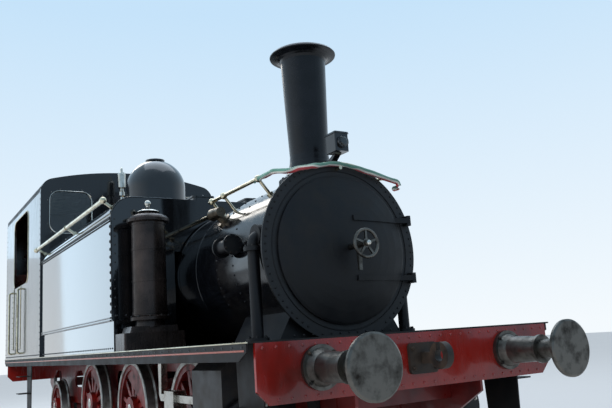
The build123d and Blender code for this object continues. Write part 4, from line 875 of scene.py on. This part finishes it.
class ENGINE_OT_cab_windows(bpy.types.Operator):
    """Beads round the cab windows, with their screws, and the roof's rain strips"""

    bl_idname = "engine.cab_windows"
    bl_label = "Cab windows"

    def execute(self, context):
        beads = Form()
        screws = Form()
        screw_line = 0.028
        for face_x, outward, window, corner in (
            (cab_front_high.x, 1, FRONT_WINDOW, 0.150),
            (cab_back_low.x, -1, BACK_WINDOW, 0.120),
        ):
            wide = [edge + way * screw_line for edge, way in zip(window, (-1, 1, -1, 1))]
            for side, _ in SIDES:
                loop = rounded_loop(
                    *window, corner, lambda a, b: (face_x + outward * 0.003, side * a, b), steps=7
                )
                beads.swept(loop, round_section(0.008), closed=True, up=(1, 0, 0))
                spots = rounded_loop(
                    *wide, corner + screw_line, lambda a, b: (face_x, side * a, b), steps=2
                )
                for spot in spots:
                    rivet(screws, spot, (outward, 0, 0), 0.006)
        beads.piece("window_beads", "nickel", "bright_steel")
        screws.piece("window_screws", "steel", "bright_steel")

        strips = Form()
        strip_y, strip_z = 1.393, 3.802
        for side, _ in SIDES:
            path = [(x, side * strip_y, strip_z) for x in (cab_back_low.x + 0.02, cab_front_high.x - 0.02)]
            strips.swept(path, flat_section(-0.004, 0.004, 0.012))
        for x in (cab_back_low.x + 0.06, -3.3, cab_front_high.x - 0.06):
            crown = arc((0, ROOF_TOP - ROOF_RADIUS), ROOF_RADIUS, 76, 104, 24, lambda a, b: (x, a, b))
            strips.swept(crown, flat_section(-0.002, 0.002, 0.022), up=(1, 0, 0))
        strips.piece("roof_strips", "roof", "roof_black")
        return {"FINISHED"}


class ENGINE_OT_boiler_bands(bpy.types.Operator):
    """Cleading bands round the barrel, and rivets and bolts round the smokebox and chimney foot"""

    bl_idname = "engine.boiler_bands"
    bl_label = "Boiler bands and smokebox rivets"

    def execute(self, context):
        trim = context.scene.engine_trim
        bands = Form()
        for x in (2.020, 2.480, barrel_high.x - 0.034):
            section = flat_section(-0.001, 0.003, 0.028, 0.024)
            bands.hoop((0, BOILER_Z), BOILER_RADIUS, section, lambda a, b: (x, a, b))
        bands.piece("boiler_bands", "body", "gloss_black")

        rings = Form()
        for x in (barrel_high.x + 0.035, 3.40, FRONT_PLATE_BACK - 0.045):
            # No rivets behind the saddle, and none under the chimney's foot
            highest = 0.9 if abs(x - CHIMNEY_X) < 0.31 else 1.0
            for out_y, out_z in directions(-60, 240, 43):
                if -0.55 <= out_z <= highest:
                    spot = (x, SMOKEBOX_RADIUS * out_y, BOILER_Z + SMOKEBOX_RADIUS * out_z)
                    rivet(rings, spot, (0, out_y, out_z), trim.rivet)
        rim = 0.752
        for out_y, out_z in directions(-58, 238, 63):
            height = rim * out_z
            at_hinge = out_y > 0.85 and abs(abs(height) - STRAP_SPREAD) < 0.06
            if BOILER_Z + height > 1.30 and not at_hinge:
                rivet(rings, (FRONT_PLATE_FACE, rim * out_y, BOILER_Z + height), (1, 0, 0), trim.rivet)
        foot = [(FRONT_PLATE_FACE, y, 1.310) for y in (-0.53, 0.53)]
        rivet_row(rings, *foot, (1, 0, 0), trim.rivet, trim.plate_pitch)
        rings.piece("smokebox_rivets", "smokebox", "heat_black")

        bolts = Form()
        bolt_circle(bolts, (CHIMNEY_X, 0, 2.728), (0, 0, 1), 0.272, 16, 0.024, 0.016)
        bolts.piece("chimney_bolts", "smokebox", "heat_black")
        return {"FINISHED"}


class ENGINE_OT_smokebox_door_fittings(bpy.types.Operator):
    """The door's joint bead, the rivets and pins of its straps and the handwheel's nut"""

    bl_idname = "engine.smokebox_door_fittings"
    bl_label = "Smokebox door fittings"

    def execute(self, context):
        joint = Form()
        joint_x = FRONT_PLATE_FACE + 0.001
        joint.hoop((0, BOILER_Z), 0.690, round_section(0.006, 6), lambda a, b: (joint_x, a, b))
        joint.piece("door_joint_bead", "smokebox", "heat_black")

        studs = Form()
        for spread in (-STRAP_SPREAD, STRAP_SPREAD):
            for y in (0.10, 0.22, 0.34, 0.46):
                x = DOOR_CROWN_X - (y**2 + spread**2) / (2 * DOOR_DISH)
                rivet(studs, (x, y, BOILER_Z + spread), (1, 0, 0), 0.009)
            pin = [(0.017, -0.030), (0.017, 0.030), (0.010, 0.038)]
            studs.turned(pin, (4.175, 0.715, BOILER_Z + spread), steps=12)
        studs.piece("door_strap_rivets", "smokebox", "heat_black", body="smokebox_door")

        nut = Form()
        dome = [(0.020, 0.0), (0.020, 0.012), (0.012, 0.018), (0.0, 0.019)]
        nut.turned(dome, (4.500, 0, BOILER_Z), (1, 0, 0))
        nut.piece("handwheel_nut", "nickel", "bright_steel", body="smokebox_door")
        return {"FINISHED"}


class ENGINE_OT_dome_fittings(bpy.types.Operator):
    """Beads and bolts at the dome's foot, and the whistle's and safety valves' joints"""

    bl_idname = "engine.dome_fittings"
    bl_label = "Dome and valve fittings"

    def execute(self, context):
        beads = Form()
        for radius, height in ((DOME_RADIUS + 0.004, 2.934), (DOME_RADIUS + 0.046, 2.900)):
            section = round_section(0.006, 6)
            beads.hoop((DOME_X, 0), radius, section, lambda a, b: (a, b, height), up=(0, 0, 1))
        beads.piece("dome_beads", "nickel", "bright_steel")

        bolts = Form()
        for centre, radius, count, across_flats in (
            ((DOME_X, 0, 2.903), 0.458, 20, 0.016),
            ((*WHISTLE, 2.902), 0.060, 6, 0.014),
        ):
            bolt_circle(
                bolts, centre, (0, 0, 1), radius, count, across_flats, 0.010, shift=0, washer=False
            )
        bolts.piece("dome_bolts", "black", "frame_black")

        rims = Form()
        for valve in VALVES:
            profile = [(0.046, 0.0), (0.052, 0.010), (0.046, 0.020), (0.030, 0.026)]
            rims.turned(profile, (*valve, 3.178), steps=24)
        rims.piece("safety_valve_rims", "brass", "whistle_brass")
        return {"FINISHED"}


class ENGINE_OT_pump_fittings(bpy.types.Operator):
    """The air pump's polished cap and knob, its bands, bolts and rivets"""

    bl_idname = "engine.pump_fittings"
    bl_label = "Air pump fittings"

    def execute(self, context):
        bands = Form()
        for height in (1.640, 1.960, 2.280, 2.540):
            section = flat_section(-0.001, 0.003, 0.014, 0.012)
            bands.hoop(PUMP, 0.171, section, lambda a, b: (a, b, height), count=36, up=(0, 0, 1))
        bands.piece("pump_bands", "jacket", "gloss_black")

        bolts = Form()
        bolt_circle(bolts, (*PUMP, 1.602), (0, 0, 1), 0.186, 10, 0.020, 0.014)
        for out_x, out_y in ring(10, 0.5):
            spot = (PUMP[0] + 0.215 * out_x, PUMP[1] + 0.215 * out_y, 2.575)
            rivet(bolts, spot, (out_x, out_y, 0), 0.008)
        bolts.piece("pump_bolts", "black", "frame_black")

        cap = Form()
        saucer = [
            (0.116, 2.666), (0.119, 2.671), (0.116, 2.676), (0.084, 2.690),
            (0.034, 2.700), (0.022, 2.710), (0.020, 2.728), (0.024, 2.736),
        ]
        cap.turned(saucer, (*PUMP, 0), steps=32)
        ball, ball_z = 0.0345, 2.762
        knob = arc((0, ball_z), ball, -70, 90, 10, lambda a, b: (a, b))
        cap.turned(knob, (*PUMP, 0), steps=28)
        cap.piece("pump_cap_and_knob", "nickel", "bright_steel")
        return {"FINISHED"}


class ENGINE_OT_pipe_fittings(bpy.types.Operator):
    """Bolts on the pipe flanges, the blower rod's sleeve and the lamp's glass"""

    bl_idname = "engine.pipe_fittings"
    bl_label = "Pipe and lamp fittings"

    def execute(self, context):
        bolts = Form()
        for side, _ in SIDES:
            for height, reach in ((1.310, 0.077), (2.056, 0.066)):
                centre = (STEAM_PIPE[0], side * STEAM_PIPE[1], height)
                bolt_circle(bolts, centre, (0, 0, 1), reach, 6, 0.020, 0.014, washer=False)
        elbow_flange = (3.620, -0.795, 2.124)
        bolt_circle(bolts, elbow_flange, (1, 0, 0), 0.075, 8, 0.016, 0.012, washer=False)
        bolts.piece("pipe_flange_bolts", "black", "heat_black")

        rod = Form()
        rod.turned([(0.0215, 0.0), (0.0215, 0.800)], (1.965, -0.620, 2.535), (1, 0, 0), steps=20)
        rod.piece("blower_rod_sleeve", "rail", "bright_steel")

        lens = Form()
        bulge = [(0.050, 0.0), (0.047, 0.006), (0.036, 0.012), (0.018, 0.016), (0.003, 0.017)]
        lens.turned(bulge, (4.262, 0, 2.942), (1, 0, 0), steps=28)
        lens.piece("lamp_lens", "glass", "window_glass")
        return {"FINISHED"}


# The rail's corners, each with how far from it the bend starts; the last three are the free tail
RIBBON_CORNERS = (
    ((3.640, -0.566, 2.700), 0.0),
    ((4.005, -0.566, 2.700), 0.045),
    ((4.175, -0.500, 2.664), 0.135),
    ((4.175, 0.000, 2.786), 0.360),
    ((4.175, 0.500, 2.664), 0.060),
    ((4.175, 0.630, 2.634), 0.030),
    ((4.175, 0.642, 2.585), 0.030),
    ((4.175, 0.560, 2.562), 0.0),
)
# How far the ribbon is turned round the rail, in degrees, at distances along it in metres
RIBBON_TURNS = (
    (0.0, -150), (0.15, -60), (0.30, -50), (0.50, -35), (0.61, 30), (0.72, 28), (0.84, -42),
    (1.02, -55), (1.12, -88), (1.26, -45), (1.60, -30), (1.74, -15), (1.95, 60),
)


def rounded_path(corners):
    """Path through the corners, its bends rounded by cutting every corner four times."""
    path = []
    for i, (corner, reach) in enumerate(corners):
        here = Vector(corner)
        before, after = corners[max(i - 1, 0) : i], corners[i + 1 : i + 2]
        path += [here + reach * (Vector(other) - here).normalized() for other, _ in before]
        path.append(here)
        path += [here + reach * (Vector(other) - here).normalized() for other, _ in after]
    for _ in range(4):
        cut = [path[0]]
        for a, b in zip(path, path[1:]):
            cut += [a.lerp(b, 0.25), a.lerp(b, 0.75)]
        path = cut + [path[-1]]
    return [p for i, p in enumerate(path) if i == 0 or (p - path[i - 1]).length > 1e-6]


def stations_along(path, step):
    """Points at even steps along a path, each with the way it runs."""
    length = sum((b - a).length for a, b in zip(path, path[1:]))
    stations, walked, i = [], 0.0, 0
    for n in range(int(length / step)):
        while walked + (path[i + 1] - path[i]).length < n * step:
            walked += (path[i + 1] - path[i]).length
            i += 1
        run = path[i + 1] - path[i]
        stations.append((path[i] + run * ((n * step - walked) / run.length), run.normalized()))
    return stations


def ribbon_turn(walked):
    """How far the ribbon is turned round the rail at a distance along it, in degrees."""
    k = max(i for i, (at, _) in enumerate(RIBBON_TURNS[:-1]) if at <= walked)
    (start, first), (end, last) = RIBBON_TURNS[k : k + 2]
    share = (walked - start) / (end - start)
    return first + (last - first) * share * share * (3 - 2 * share)


class ENGINE_OT_ribbon(bpy.types.Operator):
    """Ribbon laid along the front handrail from its last side knob to a curl at the far corner"""

    bl_idname = "engine.ribbon"
    bl_label = "Handrail ribbon"

    def execute(self, context):
        width, lanes, step = 0.070, 10, 0.012
        stations = stations_along(rounded_path(RIBBON_CORNERS), step)
        points, faces, weave = [], [], []
        for n, (middle, ahead) in enumerate(stations):
            side = ahead.cross(Vector((0, 0, 1))).normalized()
            rise = side.cross(ahead)
            wander = 12 * noise.noise(Vector((n * 0.11, 0.3, 0.7)))
            turn = math.radians(ribbon_turn(n * step) + wander)
            swell = 0.0225 + 0.005 * (0.5 + noise.noise(Vector((n * 0.21, 4.2, 1.1))))
            for lane in range(lanes + 1):
                share = lane / lanes
                angle = turn - (share - 0.5) * width / swell
                radius = swell + 0.002 * math.sin(3.1 * share * math.pi + n * 0.23)
                points.append(middle + radius * (math.cos(angle) * side + math.sin(angle) * rise))
                weave.append((n * step, share))
        for n in range(len(stations) - 1):
            for lane in range(lanes):
                a = n * (lanes + 1) + lane
                faces.append((a, a + lanes + 1, a + lanes + 2, a + 1))
        mesh = bpy.data.meshes.new("handrail_ribbon")
        mesh.from_pydata(points, [], faces)
        layer = mesh.uv_layers.new(name="weave")
        for loop in mesh.loops:
            layer.data[loop.index].uv = weave[loop.vertex_index]
        mesh.shade_smooth()
        mesh.materials.append(finish["ribbon"])
        ribbon = bpy.data.objects.new("handrail_ribbon", mesh)
        context.scene.collection.objects.link(ribbon)
        thick = ribbon.modifiers.new("cloth", "SOLIDIFY")
        thick.thickness = 0.001
        thick.offset = 1
        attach(ribbon, "engine")
        return {"FINISHED"}


class ENGINE_OT_cylinder_fittings(bpy.types.Operator):
    """Bolts round the cylinder covers, bands round the jackets and nuts on the glands"""

    bl_idname = "engine.cylinder_fittings"
    bl_label = "Cylinder fittings"

    def execute(self, context):
        bolts = Form()
        bands = Form()
        for side, _ in SIDES:
            y = side * CYLINDER_Y
            for end_x, outward in CYLINDER_ENDS:
                bolt_circle(bolts, (end_x, y, CYLINDER_Z), (outward, 0, 0), 0.238, 14, 0.026, 0.018)
            bolt_circle(bolts, (GLAND_X, y, CYLINDER_Z), (-1, 0, 0), 0.072, 4, 0.018, 0.014)
            for x in (3.640, 3.905, 4.170):
                outer = arc((0, CYLINDER_Z), CYLINDER_JACKET, -86, 26, 24, lambda a, b: (x, y + side * a, b))
                bands.swept(outer, flat_section(-0.001, 0.004, 0.016), up=(side, 0, 0))
        bolts.piece("cylinder_bolts", "steel", "bright_steel")
        bands.piece("cylinder_bands", "casting", "cylinder_black")
        return {"FINISHED"}


class ENGINE_OT_beam_fittings(bpy.types.Operator):
    """Bolts round the buffer bases and draw plates, and rivets along both beams"""

    bl_idname = "engine.beam_fittings"
    bl_label = "Beam fittings"

    def execute(self, context):
        bolts = Form()
        rivets = Form()
        for end in (1, -1):
            face_x = end * beam_high.x
            outward = (end, 0, 0)
            for side, _ in SIDES:
                base = (face_x + end * 0.030, side * BUFFER_Y, BUFFER_Z)
                bolt_circle(bolts, base, outward, 0.137, 4, 0.018, 0.016)
                for height in (BUFFER_Z - 0.070, BUFFER_Z + 0.070):
                    hex_bolt(bolts, (face_x + end * 0.025, side * 0.100, height), outward, 0.026, 0.018)
            for half_length, height in ((1.30, 1.240), (1.20, 0.912)):
                row = [(face_x, y, height) for y in (-half_length, half_length)]
                rivet_row(rivets, *row, outward, 0.011, 0.10)
        bolts.piece("beam_bolts", "forged", "forged_steel")
        rivets.piece("beam_rivets", "beam", "beam_red")
        return {"FINISHED"}


class ENGINE_OT_wheel_fittings(bpy.types.Operator):
    """Caps on the axle ends, with bolts round the trailing wheels' own"""

    bl_idname = "engine.wheel_fittings"
    bl_label = "Wheel fittings"

    def execute(self, context):
        for node, (x, z, _) in AXLES.items():
            caps = Form()
            for side, _ in SIDES:
                end, outward = (x, side * AXLE_END, z), (0, side, 0)
                caps.turned([(0.070, -0.001), (0.070, 0.004), (0.058, 0.010)], end, outward, steps=24)
                if node == "trailing_wheelset":
                    bolt_circle(caps, end, outward, 0.110, 6, 0.020, 0.012, shift=0, washer=False)
            caps.piece(f"axle_caps_{node}", "steel", "bright_steel", body=node)
        return {"FINISHED"}


class ENGINE_OT_spring_fittings(bpy.types.Operator):
    """Buckles round the leaf springs"""

    bl_idname = "engine.spring_fittings"
    bl_label = "Spring buckles"

    def execute(self, context):
        buckles = Form()
        half = 0.045
        for x, z, _ in AXLES.values():
            top = z - 0.230
            foot = top - 0.094
            for side, _ in SIDES:
                buckles.bar((x - half, side * 0.540, foot), (x + half, side * 0.635, foot + 0.010))
                buckles.bar((x - half, side * 0.6305, foot), (x + half, side * 0.640, top))
        buckles.piece("spring_buckles", "forged", "frame_black", bevel_mm=1.5)
        return {"FINISHED"}


class ENGINE_OT_backhead_fittings(bpy.types.Operator):
    """Gauges, water glasses, valve wheels, pipes and rivets of the backhead"""

    bl_idname = "engine.backhead_fittings"
    bl_label = "Backhead fittings"

    def execute(self, context):
        to_rear = (-1, 0, 0)
        self.gauges(to_rear)
        self.valve_wheels(to_rear)

        pipes = Form()
        pipe_x = BACKHEAD_FACE - 0.020
        for side, _ in SIDES:
            bends = ((0.47, 1.520), (0.47, 2.060), (0.36, 2.300), (0.20, 2.380))
            pipes.swept([(pipe_x, side * y, z) for y, z in bends], round_section(0.011, 10), up=(1, 0, 0))
        pipes.piece("backhead_pipes", "copper", "whistle_brass")

        rivets = Form()
        spots = arc(
            (0, BOILER_Z), BACKHEAD_RIVET_LINE, -40, 220, 25, lambda a, b: (BACKHEAD_FACE, a, b)
        )
        for spot in spots:
            rivet(rivets, spot, to_rear, 0.011)
        catch = (backhead_low.x + 0.005, -0.17, 1.760)
        rivets.turned([(0.030, -0.001), (0.030, 0.014)], catch, to_rear, steps=14)
        rivets.piece("backhead_rivets", "black", "frame_black")
        return {"FINISHED"}

    def gauges(self, to_rear):
        """Two dials with their marks, and two water glasses between guards."""
        cases, dials, ticks, tubes = Form(), Form(), Form(), Form()
        dial_z, mark_x = 2.460, BACKHEAD_FACE - 0.0245
        for y in (-0.21, 0.21):
            centre = (BACKHEAD_FACE, y, dial_z)
            case = [(0.070, -0.002), (0.072, 0.030), (0.066, 0.034), (0.062, 0.030), (0.062, 0.022)]
            cases.turned(case, centre, to_rear, steps=28)
            dials.turned([(0.061, 0.020), (0.061, 0.024)], centre, to_rear, steps=28)
            for c, s in directions(225, -45, 10):
                tick = [(mark_x, y + r * c, dial_z + r * s) for r in (0.046, 0.056)]
                ticks.swept(tick, flat_section(-0.001, 0.001, 0.0006), up=(1, 0, 0))
            needle = [(mark_x - 0.001, y, dial_z), (mark_x - 0.001, y - 0.030, dial_z + 0.032)]
            ticks.swept(needle, flat_section(-0.0015, 0.0015, 0.0006), up=(1, 0, 0))
        tube_x, low_z, high_z = BACKHEAD_FACE - 0.045, 1.990, 2.230
        for y in (-0.34, 0.34):
            for height in (low_z, high_z):
                cock = [(0.026, -0.002), (0.026, 0.020), (0.016, 0.024), (0.016, 0.060), (0.010, 0.066)]
                cases.turned(cock, (BACKHEAD_FACE, y, height), to_rear)
            for guard_y in (y - 0.022, y + 0.022):
                guard = [(tube_x, guard_y, z) for z in (low_z, high_z)]
                cases.swept(guard, round_section(0.004, 6), up=(1, 0, 0))
            tube = [(tube_x, y, z) for z in (low_z + 0.015, high_z - 0.015)]
            tubes.swept(tube, round_section(0.008, 12), up=(1, 0, 0))
        cases.piece("backhead_gauges", "brass", "whistle_brass")
        dials.piece("gauge_dials", "dial", "bright_steel")
        ticks.piece("gauge_marks", "black", "frame_black")
        tubes.piece("water_glasses", "glass", "window_glass")

    def valve_wheels(self, to_rear):
        """Four handwheels on their spindles, the lower pair on stouter bosses."""
        wheels = Form()
        rim, rim_x = 0.046, BACKHEAD_FACE - 0.094
        slim = [(0.020, -0.002), (0.020, 0.050), (0.010, 0.052), (0.010, 0.100)]
        stout = [(0.030, -0.002), (0.030, 0.060), (0.012, 0.062), (0.012, 0.100)]
        for y, z, boss in (
            (-0.40, 1.80, stout), (0.40, 1.80, stout), (-0.16, 2.14, slim), (0.16, 2.14, slim)
        ):
            wheels.turned(boss, (BACKHEAD_FACE, y, z), to_rear, steps=14)
            circle = arc((y, z), rim, 0, 350, 23, lambda a, b: (rim_x, a, b))
            wheels.swept(circle, round_section(0.007), closed=True, up=(1, 0, 0))
            for c, s in ring(5):
                tip = (rim_x, y + (rim - 0.001) * c, z + (rim - 0.001) * s)
                wheels.swept([(rim_x, y, z), tip], round_section(0.004, 6), up=(1, 0, 0))
        wheels.piece("backhead_valve_wheels", "steel", "bright_steel")


# Lamps: name, place, width, height, watts and colour
LAMPS = (
    ("overcast_key", (3.0, -13.0, 11.0), 10.0, 10.0, 1400, "#FFFFFF"),
    ("sky_over", (-2.0, 2.0, 14.0), 12.0, 12.0, 700, "#EAF3FF"),
    ("sun_haze", (-10.4, 0.4, 11.0), 4.0, 4.0, 220, "#FFF6EA"),
    ("side_sheen", (-12.0, -6.3, 3.6), 5.0, 4.6, 56, "#BFE4FF"),
    ("cab_sheen", (-12.0, -2.6, 5.3), 1.5, 2.4, 9, "#BFE4FF"),
)
LAMPS_FACE = (0.5, 0, 2.0)

# Camera solved from the engine's own edges: it looks back, left and up, and is tilted a little
CAMERA_PLACE = (8.988, -3.362, 1.271)
CAMERA_YAW, CAMERA_PITCH, CAMERA_ROLL = (math.radians(a) for a in (31.861, 11.123, 3.921))
CAMERA_LENS_MM = 40.55


class ENGINE_OT_stage(bpy.types.Operator):
    """Pale floor and background, soft studio light and the camera"""

    bl_idname = "engine.stage"
    bl_label = "Stage, light and camera"

    def execute(self, context):
        settings = context.scene.engine_stage
        self.floor(context, settings)
        self.sky(context, settings)
        for name, place, width, height, power, colour in LAMPS:
            lamp = bpy.data.lights.new(name, "AREA")
            lamp.shape = "RECTANGLE"
            lamp.size = width
            lamp.size_y = height
            lamp.energy = power
            lamp.color = linear(colour)[:3]
            holder = bpy.data.objects.new(name, lamp)
            holder.location = place
            holder.rotation_euler = (Vector(LAMPS_FACE) - Vector(place)).to_track_quat("-Z", "Y").to_euler()
            # The broad key only brightens: its square outline would show in every polished curve
            holder.visible_glossy = name != "overcast_key"
            holder.visible_camera = False
            context.scene.collection.objects.link(holder)
        self.camera(context)
        context.scene.view_settings.view_transform = "Standard"
        return {"FINISHED"}

    def floor(self, context, settings):
        """Plain floor under the wheels."""
        half = 60
        level = cad_box[0][2]
        mesh = bpy.data.meshes.new("floor")
        corners = [(-half, -half, level), (half, -half, level), (half, half, level), (-half, half, level)]
        mesh.from_pydata(corners, [], [(0, 1, 2, 3)])
        mesh.materials.append(soft_floor((*settings.floor, 1)))
        floor = bpy.data.objects.new("floor", mesh)
        context.scene.collection.objects.link(floor)

    def sky(self, context, settings):
        """Background that shows the sky, and an even light from all round."""
        world = bpy.data.worlds.new("studio")
        context.scene.world = world
        world.use_nodes = True
        tree = world.node_tree
        tree.nodes.clear()
        low, high, front = ((*c, 1) for c in (settings.sky_low, settings.sky_high, settings.sky_front))
        way = add_node(tree, "TexCoord", output="Generated")
        behind = worn_paint(tree, add_node(tree, "SeparateXYZ", way, output="Z"), (0.0, 0.45), low, high)
        # A clear sky is deeper on the side away from the sun, which stands behind the engine
        sky = worn_paint(tree, add_node(tree, "SeparateXYZ", way, output="X"), (-0.2, 0.7), behind, front)
        even = add_node(tree, "Background", "#E8F2FC", settings.ambient)
        backdrop = add_node(tree, "Background", sky)
        add_node(tree, "OutputWorld", add_node(tree, "MixShader", seen_rays(tree), even, backdrop))

    def camera(self, context):
        """Camera at the photograph's viewing angle."""
        flat = math.cos(CAMERA_PITCH)
        ahead = Vector((-math.cos(CAMERA_YAW) * flat, math.sin(CAMERA_YAW) * flat, math.sin(CAMERA_PITCH)))
        level_right = Vector((math.sin(CAMERA_YAW), math.cos(CAMERA_YAW), 0))
        level_up = level_right.cross(ahead)
        right = level_right * math.cos(CAMERA_ROLL) - level_up * math.sin(CAMERA_ROLL)
        up = level_right * math.sin(CAMERA_ROLL) + level_up * math.cos(CAMERA_ROLL)
        lens = bpy.data.cameras.new("eye")
        lens.lens = CAMERA_LENS_MM
        lens.clip_end = 200
        camera = bpy.data.objects.new("eye", lens)
        turn = Matrix((right, up, -ahead)).transposed().to_4x4()
        camera.matrix_world = Matrix.Translation(CAMERA_PLACE) @ turn
        context.scene.collection.objects.link(camera)
        bpy.context.scene.camera = camera


STEPS = (
    ENGINE_OT_paint,
    ENGINE_OT_tank_rivets,
    ENGINE_OT_tank_beads,
    ENGINE_OT_side_plating,
    ENGINE_OT_cab_windows,
    ENGINE_OT_boiler_bands,
    ENGINE_OT_smokebox_door_fittings,
    ENGINE_OT_dome_fittings,
    ENGINE_OT_pump_fittings,
    ENGINE_OT_pipe_fittings,
    ENGINE_OT_ribbon,
    ENGINE_OT_cylinder_fittings,
    ENGINE_OT_beam_fittings,
    ENGINE_OT_wheel_fittings,
    ENGINE_OT_spring_fittings,
    ENGINE_OT_backhead_fittings,
    ENGINE_OT_stage,
)


class ENGINE_PT_sidebar(bpy.types.Panel):
    """Lists the engine's settings and the steps that dress it"""

    bl_idname = "ENGINE_PT_sidebar"
    bl_label = "Side-tank engine"
    bl_space_type = "VIEW_3D"
    bl_region_type = "UI"
    bl_category = "Engine"

    def draw(self, context):
        for group in GROUPS:
            settings = getattr(context.scene, group)
            box = self.layout.box()
            for key in settings.bl_rna.properties.keys():
                if key not in ("rna_type", "name"):
                    box.prop(settings, key)
        for step in STEPS:
            self.layout.operator(step.bl_idname)


GROUPS = {"engine_paint": EnginePaint, "engine_trim": EngineTrim, "engine_stage": EngineStage}


def register():
    for name, group in GROUPS.items():
        bpy.utils.register_class(group)
        setattr(bpy.types.Scene, name, PointerProperty(type=group))
    for step in STEPS:
        bpy.utils.register_class(step)
    bpy.utils.register_class(ENGINE_PT_sidebar)


def unregister():
    bpy.utils.unregister_class(ENGINE_PT_sidebar)
    for step in reversed(STEPS):
        bpy.utils.unregister_class(step)
    for name, group in GROUPS.items():
        delattr(bpy.types.Scene, name)
        bpy.utils.unregister_class(group)


def main():
    register()
    for step in STEPS:
        call = getattr(bpy.ops.engine, step.bl_idname.split(".")[1])
        call()


if __name__ == "__main__":
    main()
